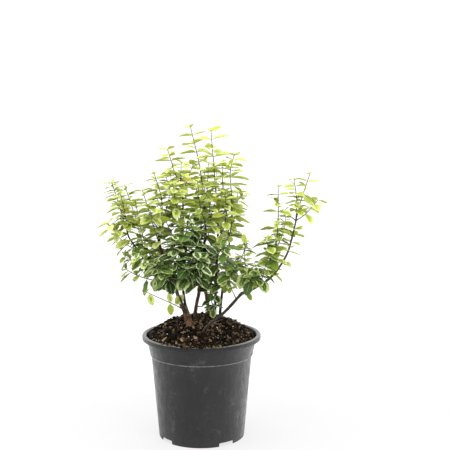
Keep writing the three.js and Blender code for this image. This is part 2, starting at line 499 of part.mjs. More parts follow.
const twigs = [];
for (const [node, on, at, foot, tip, leaves, ...points] of [...STEMS, ...SHOOTS]) {
  const parent = twigs.find((twig) => twig.node === on);
  const start = at === null ? [] : [ontoSpine(parent.curve.getPoint(at), parent.spine).toArray()];
  const curve = curveThrough([...start, ...points]);
  const spine = curve.getSpacedPoints(stretches(curve, foot));
  twigs.push({ node, on, foot, tip, leaves, curve, spine, seed: twigs.length });
}

const pot = makePot();
const fromSoil = twigs.filter((twig) => twig.on === "soil");
const soil = makeSoil(fromSoil.map((twig) => rod(twig.curve, twig.foot, twig.tip, GAP)));
const pieces = [pot, soil].map((solid) => ({ node: null, solid, box: solid.boundingBox() }));

const woods = new Map();
for (const twig of twigs) {
  let wood = rod(twig.curve, twig.foot, twig.tip);
  const parent = twigs.find((other) => other.node === twig.on);
  if (parent && parent.node !== twig.node) {
    wood = wood.subtract(rod(parent.curve, parent.foot, parent.tip, GAP));
  }
  woods.set(twig.node, woods.has(twig.node) ? woods.get(twig.node).add(wood) : wood);
}
for (const [node, solid] of woods) pieces.push({ node, solid, box: solid.boundingBox() });
BROAD_LEAVES.forEach((row, i) => addLeaf(row[0], `broad:${i}`, [broadPose(row)], pieces));
for (const twig of twigs) addLeaves(twig, pieces);

addNode("pot", pot, COLOURS.pot, 0.6);
addNode("soil", soil, COLOURS.soil, 0.95);
for (const node of woods.keys()) {
  const own = pieces.filter((piece) => piece.node === node).map((piece) => piece.solid);
  const { leaves, foot } = twigs.find((twig) => twig.node === node);
  const bark = new THREE.Color(foot > 2.5 ? COLOURS.bark : COLOURS.darkBark);
  const green = new THREE.Color(COLOURS.newLeaf).lerp(new THREE.Color(COLOURS.oldLeaf), leaves[4]);
  addNode(node, own.reduce((whole, solid) => whole.add(solid)), leaves[0] ? green : bark, 0.6);
}

export default root;
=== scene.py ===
"""Potted euonymus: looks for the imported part.

A young variegated bush in a round nursery pot. The pot is moulded charcoal plastic, the soil is a
heap of bark compost, and every stem carries opposite pairs of leaves that are lime green when new
and dark green with a pale margin when old. Metres, +Z up, -Y is the front.
"""

import logging
import math
import random
from bisect import bisect_left
from collections.abc import Callable, Iterator, Sequence
from contextlib import contextmanager
from dataclasses import dataclass, field, replace
from enum import Enum

import bmesh
import bpy
from mathutils import Matrix, Vector, noise
from mathutils.geometry import intersect_point_line
from mathutils.kdtree import KDTree


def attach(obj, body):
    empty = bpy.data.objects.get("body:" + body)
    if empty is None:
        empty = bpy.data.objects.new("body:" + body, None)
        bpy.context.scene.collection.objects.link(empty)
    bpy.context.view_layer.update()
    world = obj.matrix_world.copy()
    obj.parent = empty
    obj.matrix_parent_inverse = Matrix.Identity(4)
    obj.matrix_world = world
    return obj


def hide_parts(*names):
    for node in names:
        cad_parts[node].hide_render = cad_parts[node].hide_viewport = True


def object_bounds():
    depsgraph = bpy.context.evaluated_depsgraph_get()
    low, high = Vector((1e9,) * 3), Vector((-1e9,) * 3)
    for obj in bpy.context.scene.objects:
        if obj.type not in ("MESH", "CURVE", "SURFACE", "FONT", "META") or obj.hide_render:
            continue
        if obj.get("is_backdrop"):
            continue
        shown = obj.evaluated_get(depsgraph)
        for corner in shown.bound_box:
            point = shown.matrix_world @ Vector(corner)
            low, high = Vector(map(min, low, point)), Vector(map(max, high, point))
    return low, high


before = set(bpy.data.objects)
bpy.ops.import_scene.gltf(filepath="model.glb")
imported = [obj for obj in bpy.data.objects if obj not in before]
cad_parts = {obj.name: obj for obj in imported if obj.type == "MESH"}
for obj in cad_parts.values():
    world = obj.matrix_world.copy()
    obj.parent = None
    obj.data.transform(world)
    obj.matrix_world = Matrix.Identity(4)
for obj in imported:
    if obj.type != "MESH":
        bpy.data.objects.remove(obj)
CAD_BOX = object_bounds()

log = logging.getLogger("euonymus")

Piece = bpy.types.Object
Socket = bpy.types.NodeSocket
Feeds = dict[str | int, object]
Place = tuple[float, float, float]
Span = tuple[float, float]
Colour = tuple[float, float, float, float]

LEAF_UV = "blade"
# A colour attribute: red is age, green is the tint of one leaf or lump, blue is how pale it is.
GROWTH = "growth"
UP = Vector((0, 0, 1))
MM = 1000  # millimetres in a metre


class Slot(Enum):
    """The record's material slots."""

    POT = "pot_plastic"
    SOIL = "potting_soil"
    BARK = "bark"
    YOUNG_BARK = "young_bark"
    NEW_LEAF = "new_leaf"
    MID_LEAF = "mid_leaf"
    OLD_LEAF = "old_leaf"


def srgb(red: int, green: int, blue: int) -> Colour:
    """A colour as a paint card gives it, 0 to 255, as the linear colour that shaders take.

    Args:
        red: Red, 0 to 255.
        green: Green, 0 to 255.
        blue: Blue, 0 to 255.

    Returns:
        The linear colour with full opacity.
    """

    def linear(value: float) -> float:
        """One channel from 0 to 255 made linear."""
        share = value / 255
        return share / 12.92 if share <= 0.04045 else ((share + 0.055) / 1.055) ** 2.4

    return (linear(red), linear(green), linear(blue), 1.0)


# ---- working with Blender's own tools ----
def pick(*objects: Piece) -> Piece:
    """Selects only these objects and makes the first one active.

    Args:
        objects: The objects to select.

    Returns:
        The first of them.
    """
    bpy.ops.object.select_all(action="DESELECT")
    for chosen in objects:
        chosen.select_set(True)
    bpy.context.view_layer.objects.active = objects[0]
    return objects[0]


def fresh(add: Callable[..., object], **choices: object) -> Piece:
    """Adds a primitive with nothing else selected.

    Args:
        add: The operator that adds it.
        choices: Its size and place.

    Returns:
        The new object.
    """
    bpy.ops.object.select_all(action="DESELECT")
    add(**choices)
    return bpy.context.object


@contextmanager
def editing(piece: Piece) -> Iterator[None]:
    """Edit mode on one piece, with everything selected at the start.

    Args:
        piece: The mesh or curve to edit.

    Yields:
        Nothing; edit mode ends with the block.
    """
    pick(piece)
    bpy.ops.object.mode_set(mode="EDIT")
    bpy.ops.mesh.select_mode(type="VERT")
    bpy.ops.mesh.select_all(action="SELECT")
    yield
    bpy.ops.object.mode_set(mode="OBJECT")


def mark(piece: Piece, test: Callable[[bmesh.types.BMVert], bool]) -> None:
    """In edit mode, selects the points that pass a test, and no others.

    Args:
        piece: The mesh in edit mode.
        test: Says whether one point is wanted.
    """
    shape = bmesh.from_edit_mesh(piece.data)
    for point in shape.verts:
        point.select_set(bool(test(point)))
    shape.select_flush_mode()
    bmesh.update_edit_mesh(piece.data)


def settle(piece: Piece, name: str) -> Piece:
    """Names a piece and puts its place into its mesh, so that its object sits at the origin.

    Args:
        piece: The new piece.
        name: Its name.

    Returns:
        The same piece.
    """
    pick(piece)
    bpy.ops.object.transform_apply(location=True, rotation=True, scale=True)
    piece.name = piece.data.name = name
    return piece


def smooth(piece: Piece, degrees: float) -> None:
    """Shades a piece smooth, with edges sharper than an angle kept crisp.

    Args:
        piece: The piece to shade.
        degrees: The angle between two faces past which their edge stays sharp.
    """
    pick(piece)
    bpy.ops.object.shade_smooth_by_angle(angle=math.radians(degrees))


def spun(name: str, outline: Sequence[tuple[float, float]], steps: int) -> Piece:
    """Turns an open outline, whose ends lie on the axis, round +Z into a closed body.

    Args:
        name: The piece's name.
        outline: (radius, height) of each point, from the axis and back to it.
        steps: How many sides the body has.

    Returns:
        The piece.
    """
    radius, height = outline[0]
    piece = fresh(bpy.ops.mesh.primitive_plane_add, size=0.01)
    with editing(piece):
        bpy.ops.mesh.merge(type="CENTER")
        bpy.ops.transform.translate(value=(radius, 0, height))
        for (r0, z0), (r1, z1) in zip(outline, outline[1:]):
            bpy.ops.mesh.extrude_vertices_move(TRANSFORM_OT_translate={"value": (r1 - r0, 0, z1 - z0)})
        bpy.ops.mesh.select_all(action="SELECT")
        bpy.ops.mesh.spin(steps=steps, angle=2 * math.pi, center=(0, 0, 0), axis=(0, 0, 1))
        bpy.ops.mesh.select_all(action="SELECT")
        bpy.ops.mesh.remove_doubles(threshold=2e-5)
        bpy.ops.mesh.normals_make_consistent(inside=False)
    return settle(piece, name)


def joined(name: str, parts: Sequence[Piece]) -> Piece:
    """Joins several pieces into one.

    Args:
        name: The joined piece's name.
        parts: The pieces, each with its own mesh.

    Returns:
        The joined piece.
    """
    pick(*parts)
    if len(parts) > 1:
        bpy.ops.object.join()
    return settle(parts[0], name)


def set_growth(piece: Piece, rows: Sequence[Sequence[float]]) -> None:
    """Stores the age, tint and paleness of each point of a piece.

    Args:
        piece: The piece.
        rows: The three numbers of each point.
    """
    colour = piece.data.attributes.new(GROWTH, "FLOAT_COLOR", "POINT")
    colour.data.foreach_set("color", [channel for row in rows for channel in (*row, 1.0)])


def copied(model: Piece, matrix: Matrix, growth: Sequence[float] = ()) -> Piece:
    """A copy of a modelled shape with its own mesh, put at its place.

    Args:
        model: The shape modelled once.
        matrix: Where the copy goes, how it is turned and how big it is.
        growth: The copy's own age, tint and paleness, if its finish reads them.

    Returns:
        The copy.
    """
    piece = model.copy()
    piece.data = model.data.copy()
    piece.data.transform(matrix)
    bpy.context.scene.collection.objects.link(piece)
    if growth:
        set_growth(piece, [growth] * len(piece.data.vertices))
    return piece


def clear(*objects: Piece) -> None:
    """Removes shapes that were only models for copies."""
    for gone in objects:
        bpy.data.objects.remove(gone)


# ---- finishes ----
class Recipe:
    """Adds shader nodes to one node tree and joins them up."""

    def __init__(self, tree: bpy.types.NodeTree) -> None:
        """Starts on a node tree."""
        self.tree = tree

    def add(self, kind: str, feeds: Feeds | None = None, **choices: object) -> bpy.types.Node:
        """Adds one node.

        Args:
            kind: The node's type.
            feeds: What goes into its sockets: another node's output, or a value.
            choices: Its own settings.

        Returns:
            The node.
        """
        made = self.tree.nodes.new(kind)
        for name, value in choices.items():
            setattr(made, name, value)
        for socket, value in (feeds or {}).items():
            if isinstance(value, Socket):
                self.tree.links.new(value, made.inputs[socket])
            else:
                made.inputs[socket].default_value = value
        return made

    def sums(self, operation: str, *numbers: object) -> Socket:
        """Arithmetic on one or more numbers.

        Args:
            operation: The name of the sum.
            numbers: The numbers that it works on.

        Returns:
            The result.
        """
        return self.add("ShaderNodeMath", dict(enumerate(numbers)), operation=operation).outputs[0]

    def times(self, first: object, second: object) -> Socket:
        """One number times another."""
        return self.sums("MULTIPLY", first, second)

    def scaled(self, value: object, factor: object, start: object) -> Socket:
        """A value times a factor, plus a start."""
        return self.sums("MULTIPLY_ADD", value, factor, start)

    def step(self, value: object, low: float, high: float, to: Span = (0.0, 1.0)) -> Socket:
        """A soft step from one number to another as a value goes from low to high.

        Args:
            value: The value that is read.
            low: Where the step starts.
            high: Where it ends.
            to: The numbers before and after it.

        Returns:
            The stepped number.
        """
        feeds = {"Value": value, "From Min": low, "From Max": high, "To Min": to[0], "To Max": to[1]}
        return self.add("ShaderNodeMapRange", feeds, interpolation_type="SMOOTHSTEP").outputs[0]

    def split(self, place: Socket) -> Sequence[Socket]:
        """The X, Y and Z of a place or a direction."""
        return self.add("ShaderNodeSeparateXYZ", {0: place}).outputs

    def blend(self, share: object, first: object, second: object) -> Socket:
        """Mixes two colours.

        Args:
            share: How much of the second colour there is.
            first: The first colour.
            second: The second colour.

        Returns:
            The mixed colour.
        """
        return self.add("ShaderNodeMix", {0: share, 6: first, 7: second}, data_type="RGBA").outputs[2]

    def ramp(self, value: object, shades: Sequence[Colour]) -> Socket:
        """A colour that changes evenly through some shades as a value goes from 0 to 1.

        Args:
            value: The value that is read.
            shades: The shades, in order.

        Returns:
            The colour.
        """
        made = self.add("ShaderNodeValToRGB", {0: value})
        band = made.color_ramp.elements
        while len(band) < len(shades):
            band.new(0.5)
        for number, (stop, shade) in enumerate(zip(band, shades)):
            stop.position, stop.color = number / (len(shades) - 1), shade
        return made.outputs[0]

    def noise(self, place: Socket, scale: object, detail: float, roughness: float) -> Socket:
        """Uneven noise from 0 to 1.

        Args:
            place: The place that is read.
            scale: How fine it is.
            detail: How many finer layers it has.
            roughness: How strong they are.

        Returns:
            The noise.
        """
        feeds = {"Vector": place, "Scale": scale, "Detail": detail, "Roughness": roughness}
        return self.add("ShaderNodeTexNoise", feeds).outputs[0]


def effect_group(name: str, numbers: dict[str, float], outputs: Sequence[str]) -> Recipe:
    """Starts a shared effect, which reads a place and some numbers.

    Args:
        name: The effect's name.
        numbers: The first value of each number that it takes.
        outputs: The names of its outputs, which are numbers.

    Returns:
        A recipe for the inside of the group.
    """
    tree = bpy.data.node_groups.new(name, "ShaderNodeTree")
    tree.interface.new_socket(name="Place", in_out="INPUT", socket_type="NodeSocketVector")
    for title, value in numbers.items():
        socket = tree.interface.new_socket(name=title, in_out="INPUT", socket_type="NodeSocketFloat")
        socket.default_value = value
    for title in outputs:
        tree.interface.new_socket(name=title, in_out="OUTPUT", socket_type="NodeSocketFloat")
    return Recipe(tree)


def grain_group() -> bpy.types.NodeTree:
    """The grain effect: fine and broad unevenness that any dull surface has.

    Returns:
        A group with Place, Scale and Stretch inputs, and Fine and Broad outputs from 0 to 1.
    """
    recipe = effect_group("grain", {"Scale": 400.0, "Stretch": 1.0}, ("Fine", "Broad"))
    given = recipe.add("NodeGroupInput").outputs
    squeeze = recipe.add("ShaderNodeCombineXYZ", {0: 1.0, 1: 1.0, 2: given["Stretch"]}).outputs[0]
    feeds = {0: given["Place"], 1: squeeze}
    place = recipe.add("ShaderNodeVectorMath", feeds, operation="MULTIPLY").outputs[0]
    fine = recipe.noise(place, given["Scale"], 3.0, 0.6)
    broad = recipe.noise(place, recipe.times(given["Scale"], 0.12), 3.0, 0.6)
    results = {"Fine": recipe.step(fine, 0.3, 0.7), "Broad": recipe.step(broad, 0.34, 0.66)}
    recipe.add("NodeGroupOutput", results)
    return recipe.tree


def dust_group() -> bpy.types.NodeTree:
    """The dust effect: specks and smudges of dry soil, thicker where a surface looks up.

    Returns:
        A group with Place, Scale and Amount inputs and a Mask output from 0 to 1.
    """
    recipe = effect_group("dust", {"Scale": 60.0, "Amount": 0.5}, ("Mask",))
    given = recipe.add("NodeGroupInput").outputs
    smudge = recipe.noise(given["Place"], given["Scale"], 6.0, 0.75)
    cells = {"Vector": given["Place"], "Scale": recipe.times(given["Scale"], 9.0)}
    speck = recipe.add("ShaderNodeTexVoronoi", cells).outputs["Distance"]
    facing = recipe.split(recipe.add("ShaderNodeNewGeometry").outputs["Normal"])[2]
    up = recipe.step(facing, -0.2, 1.0, (0.0, 0.12))
    film = recipe.step(recipe.sums("ADD", smudge, up), 0.56, 0.74)
    spots = recipe.times(recipe.step(speck, 0.24, 0.12), recipe.step(smudge, 0.46, 0.6))
    both = recipe.sums("MAXIMUM", film, spots)
    recipe.add("NodeGroupOutput", {"Mask": recipe.times(both, given["Amount"])})
    return recipe.tree


@dataclass
class Effects:
    """The shader effects that more than one finish uses."""

    grain: bpy.types.NodeTree = field(default_factory=grain_group)
    dust: bpy.types.NodeTree = field(default_factory=dust_group)


class Coat(Recipe):
    """The recipe of one finish, whose patterns read the place on the piece."""

    def __init__(self, tree: bpy.types.NodeTree, effects: Effects) -> None:
        """Starts on a material's node tree.

        Args:
            tree: The node tree.
            effects: The shared effects.
        """
        super().__init__(tree)
        self.effects = effects
        self.place = self.add("ShaderNodeTexCoord").outputs["Object"]

    def grain(self, scale: float, stretch: float = 1.0) -> tuple[Socket, Socket]:
        """The grain effect.

        Args:
            scale: How fine it is.
            stretch: Below 1, it is drawn out upwards.

        Returns:
            The fine and the broad grain.
        """
        feeds = {"Place": self.place, "Scale": scale, "Stretch": stretch}
        made = self.add("ShaderNodeGroup", feeds, node_tree=self.effects.grain).outputs
        return made["Fine"], made["Broad"]

    def dusty(self, colour: object, scale: float, amount: float, soil: Colour) -> Socket:
        """A colour under the dust effect.

        Args:
            colour: The clean colour.
            scale: How fine the dust is.
            amount: How much of it there is.
            soil: Its colour.

        Returns:
            The dusty colour.
        """
        feeds = {"Place": self.place, "Scale": scale, "Amount": amount}
        mask = self.add("ShaderNodeGroup", feeds, node_tree=self.effects.dust).outputs["Mask"]
        return self.blend(mask, colour, soil)

    def growth(self) -> Sequence[Socket]:
        """The age, tint and paleness that each leaf, lump or stem has."""
        own = self.add("ShaderNodeAttribute", attribute_name=GROWTH).outputs["Color"]
        return self.add("ShaderNodeSeparateColor", {0: own}).outputs[:3]


@dataclass(frozen=True)
class Finish:
    """A finish with a name and plain surface values. Each kind of finish lays its own colours."""

    name: str
    roughness: Span = (0.5, 0.7)
    specular: float = 0.5
    bump: float = 0.0002

    def lay(self, coat: Coat) -> tuple[object, object, object]:
        """Mixes the finish. Every kind of finish has its own way.

        Args:
            coat: The material's recipe.

        Returns:
            The colour, unevenness from 0 to 1 that sets the roughness, and relief from 0 to 1.
        """
        raise NotImplementedError

    def make(self, effects: Effects) -> bpy.types.Material:
        """The finished material.

        Args:
            effects: The shared effects.

        Returns:
            The material.
        """
        material = bpy.data.materials.new(self.name)
        material.use_nodes = True
        material.node_tree.nodes.clear()
        coat = Coat(material.node_tree, effects)
        colour, rough, height = self.lay(coat)
        relief = {"Height": height, "Strength": 1.0, "Distance": self.bump}
        feeds = {
            "Base Color": colour,
            "Roughness": coat.step(rough, 0.0, 1.0, self.roughness),
            "Normal": coat.add("ShaderNodeBump", relief).outputs[0],
        }
        surface = coat.add("ShaderNodeBsdfPrincipled", feeds)
        surface.inputs["Specular IOR Level"].default_value = self.specular
        coat.add("ShaderNodeOutputMaterial", {"Surface": surface.outputs[0]})
        self.light(coat, surface)
        return material

    def light(self, coat: Coat, surface: bpy.types.Node) -> None:
        """Gives the surface any glow of its own. Most finishes have none."""


@dataclass(frozen=True)
class PlasticFinish(Finish):
    """Moulded charcoal plastic, finely pebbled, with smudges of dry soil and painted highlights along the
    step and lip edges.
    """

    body: Colour = srgb(20, 20, 21)
    worn: Colour = srgb(29, 29, 30)
    soil: Colour = srgb(138, 134, 126)
    ridges: tuple[Span, ...] = ((0.1204, 0.0011), (0.1491, 0.0006))  # painted highlights where the step and lip edges catch light: height, half width
    edge_highlight: Colour = srgb(128, 128, 126)

    def lay(self, coat: Coat) -> tuple[object, object, object]:
        """Mixes worn patches, dust and painted edge highlights over the pebbled plastic.

        Args:
            coat: The material's recipe.

        Returns:
            The colour, the unevenness and the relief.
        """
        pebbles, _ = coat.grain(900.0)
        fine, broad = coat.grain(190.0, 0.35)
        colour = coat.dusty(coat.blend(broad, self.body, self.worn), 34.0, 0.2, self.soil)
        level = coat.split(coat.place)[2]
        # A lighter band along the step and the lip's top edge: a painted highlight where these rounded
        # edges catch light.
        for height, reach in self.ridges:
            off = coat.sums("ABSOLUTE", coat.sums("SUBTRACT", level, height))
            patchy = coat.step(fine, 0.0, 1.0, (0.3, 0.9))
            highlight_mask = coat.times(coat.step(off, reach, 0.4 * reach), patchy)
            colour = coat.blend(highlight_mask, colour, self.edge_highlight)
        return colour, fine, coat.sums("ADD", pebbles, coat.times(fine, 0.6))


@dataclass(frozen=True)
class LumpFinish(Finish):
    """Compost, bark chips or grit: a range of colours that each lump picks from, dulled by dust."""

    shades: tuple[Colour, ...] = ()
    scale: float = 700.0
    dust: float = 0.08
    soil: Colour = srgb(84, 74, 56)
    by_lump: bool = True

    def lay(self, coat: Coat) -> tuple[object, object, object]:
        """Picks a shade for each lump, or for each place on the bed, and dusts it.

        Args:
            coat: The material's recipe.

        Returns:
            The colour, the unevenness and the relief.
        """
        fine, broad = coat.grain(self.scale)
        if self.by_lump:
            _, tint, _ = coat.growth()
            shade = coat.scaled(fine, 0.24, coat.sums("SUBTRACT", tint, 0.12))
        else:
            shade = coat.scaled(fine, 0.4, coat.times(broad, 0.6))
        return coat.dusty(coat.ramp(shade, self.shades), 150.0, self.dust, self.soil), broad, fine


@dataclass(frozen=True)
class BarkFinish(Finish):
    """Bark with fissures along the stem, green where the wood is new."""

    ridge: Colour = srgb(136, 100, 70)
    furrow: Colour = srgb(44, 32, 22)
    green: Colour = srgb(92, 104, 48)
    soil: Colour = srgb(160, 146, 118)
    fissures: float = 520.0
    greenness: float = 0.0

    def lay(self, coat: Coat) -> tuple[object, object, object]:
        """Mixes ridges and furrows, patches of green, and dust.

        Args:
            coat: The material's recipe.

        Returns:
            The colour, the unevenness and the relief.
        """
        cracks, patches = coat.grain(self.fissures, 0.22)
        fine, broad = coat.grain(1500.0, 0.5)
        age, _, _ = coat.growth()
        young = coat.times(coat.step(age, 0.9, 0.1), self.greenness)
        green = coat.times(young, coat.step(patches, 0.0, 1.0, (0.7, 1.0)))
        colour = coat.blend(green, coat.blend(cracks, self.furrow, self.ridge), self.green)
        return coat.dusty(colour, 130.0, 0.25, self.soil), broad, coat.scaled(fine, 0.3, cracks)


@dataclass(frozen=True)
class LeafFinish(Finish):
    """A variegated leaf: a green middle, a ragged pale margin, a light midrib and side veins.

    The blade's own UV runs across it in U and from stalk to tip in V. Each leaf's age, tint and
    paleness are in its growth attribute. Shades go from a new leaf to an old one.
    """

    middle: tuple[Colour, ...] = (
        srgb(200, 211, 92), srgb(168, 180, 60), srgb(88, 124, 40), srgb(12, 48, 16),
    )
    margin: tuple[Colour, ...] = (
        srgb(218, 226, 144), srgb(210, 220, 136), srgb(200, 212, 136), srgb(190, 204, 150),
    )
    rib: Colour = srgb(150, 172, 92)
    gold: Colour = srgb(204, 182, 70)
    dull: Colour = srgb(146, 164, 92)
    dullness: float = 0.0  # how much paler and duller the under side is

    def margin_mask(self, coat: Coat, off_rib: Socket, along: Socket, age: Socket, pale: Socket) -> Socket:
        """Where the pale margin is, ragged on its inner side and wider on some leaves.

        Args:
            coat: The material's recipe.
            off_rib: How far out from the midrib, from 0 to 1.
            along: How far from the stalk, from 0 to 1.
            age: The leaf's age.
            pale: Its paleness.

        Returns:
            The mask.
        """
        to_tip = coat.times(coat.sums("ABSOLUTE", coat.scaled(along, 2.0, -1.1)), 0.85)
        ragged, _ = coat.grain(330.0)
        wander = coat.scaled(ragged, 0.34, coat.sums("MAXIMUM", off_rib, to_tip))
        reach = coat.scaled(pale, -0.75, coat.scaled(age, 0.28, 1.06))
        return coat.step(coat.sums("SUBTRACT", wander, reach), -0.06, 0.1)

    def lay(self, coat: Coat) -> tuple[object, object, object]:
        """Mixes the middle, the margin, the veins and a few golden leaves.

        Args:
            coat: The material's recipe.

        Returns:
            The colour, the unevenness and the relief.
        """
        across, along, _ = coat.split(coat.add("ShaderNodeUVMap", uv_map=LEAF_UV).outputs[0])
        age, tint, pale = coat.growth()
        fine, broad = coat.grain(700.0)
        off_rib = coat.sums("ABSOLUTE", coat.scaled(across, 2.0, -1.0))

        centre, edge = coat.ramp(age, self.middle), coat.ramp(age, self.margin)
        streaks = coat.times(broad, coat.scaled(age, -0.3, 0.34))
        on_margin = self.margin_mask(coat, off_rib, along, age, pale)
        colour = coat.blend(on_margin, coat.blend(streaks, centre, edge), edge)

        slanted = coat.sums("SUBTRACT", along, coat.times(off_rib, 0.16))
        veins = coat.step(coat.sums("SINE", coat.times(slanted, 46.0)), 0.8, 1.0, (0.0, 0.16))
        midrib = coat.step(off_rib, 0.1, 0.03, (0.0, 0.5))
        colour = coat.blend(coat.sums("MAXIMUM", veins, midrib), colour, self.rib)
        golden = coat.times(coat.step(tint, 0.97, 0.99, (0.0, 0.6)), coat.step(age, 0.7, 0.4))
        colour = coat.blend(golden, colour, self.gold)
        feeds = {"Value": coat.step(tint, 0.0, 1.0, (0.88, 1.22)), "Color": colour}
        lit = coat.add("ShaderNodeHueSaturation", feeds).outputs[0]
        relief = coat.scaled(fine, 0.25, coat.sums("ADD", veins, midrib))
        return coat.blend(self.dullness, lit, self.dull), broad, relief


@dataclass(frozen=True)
class PaintFinish(Finish):
    """Even matt paint, barely mottled, for the floor."""

    colour: Colour = srgb(112, 112, 112)
    mottle: Colour = srgb(140, 140, 140)
    glow: float = 0.74
    sheen: Span = (0.76, 1.9)  # the glow in the gloss of the pot, in front of it and behind

    def lay(self, coat: Coat) -> tuple[object, object, object]:
        """Mottles the paint a little.

        Args:
            coat: The material's recipe.

        Returns:
            The colour, the unevenness and the relief.
        """
        fine, broad = coat.grain(60.0)
        return coat.blend(coat.times(broad, 0.05), self.colour, self.mottle), broad, fine

    def light(self, coat: Coat, surface: bpy.types.Node) -> None:
        """Makes the floor glow evenly, and more behind the pot in what the pot reflects.

        Args:
            coat: The material's recipe.
            surface: The surface's shader node.
        """
        surface.inputs["Emission Color"].default_value = (1, 1, 1, 1)
        across, back, _ = coat.split(coat.place)
        gloss = coat.step(coat.scaled(across, 0.3, back), -0.12, 0.16, self.sheen)
        mirrored = coat.add("ShaderNodeLightPath").outputs["Is Glossy Ray"]
        glow = coat.add("ShaderNodeMix", {0: mirrored, 2: self.glow, 3: gloss}).outputs[0]
        coat.tree.links.new(glow, surface.inputs["Emission Strength"])


@dataclass
class Finishes:
    """Every finish on the plant and its pot, made once."""

    effects: Effects = field(default_factory=Effects)

    def __post_init__(self) -> None:
        """Makes the materials."""
        # The bed's near-black shades are partly the compost's own dark colour and partly painted shade of
        # the hollows between the lumps.
        bed = (srgb(3, 2, 2), srgb(13, 10, 7), srgb(32, 25, 17), srgb(80, 65, 46))
        crumb = (srgb(4, 3, 2), srgb(14, 11, 8), srgb(36, 29, 20), srgb(128, 108, 80))
        chip = (srgb(16, 11, 7), srgb(46, 32, 22), srgb(88, 62, 43), srgb(172, 142, 110))
        grit = (srgb(142, 134, 116), srgb(190, 184, 168), srgb(226, 222, 210))
        self.pot = PlasticFinish("charcoal_plastic", (0.34, 0.5), 0.5, 0.00012).make(self.effects)
        self.soil = LumpFinish(
            "compost", (0.85, 1.0), 0.08, 0.0008, bed, scale=420.0, by_lump=False
        ).make(self.effects)
        self.crumb = LumpFinish("compost_crumb", (0.8, 1.0), 0.1, 0.0003, crumb).make(self.effects)
        self.chip = LumpFinish("bark_chip", (0.65, 0.9), 0.3, 0.0003, chip).make(self.effects)
        self.grit = LumpFinish("pale_grit", (0.6, 0.9), 0.4, 0.0002, grit, dust=0.5).make(self.effects)
        self.bark = BarkFinish("woody_bark", (0.7, 0.92), 0.3, 0.0007).make(self.effects)
        self.young_bark = BarkFinish(
            "young_bark", (0.5, 0.75), 0.4, 0.0002, srgb(60, 54, 38), srgb(30, 26, 18), fissures=1300.0,
            greenness=0.75,
        ).make(self.effects)
        self.leaf = LeafFinish("leaf_upper", (0.46, 0.64), 0.2, 0.00012).make(self.effects)
        self.leaf_under = LeafFinish(
            "leaf_under", (0.6, 0.8), 0.16, 0.00012, dullness=0.14
        ).make(self.effects)
        self.floor = PaintFinish("pale_floor", (0.75, 0.95), 0.1, 0.00005).make(self.effects)


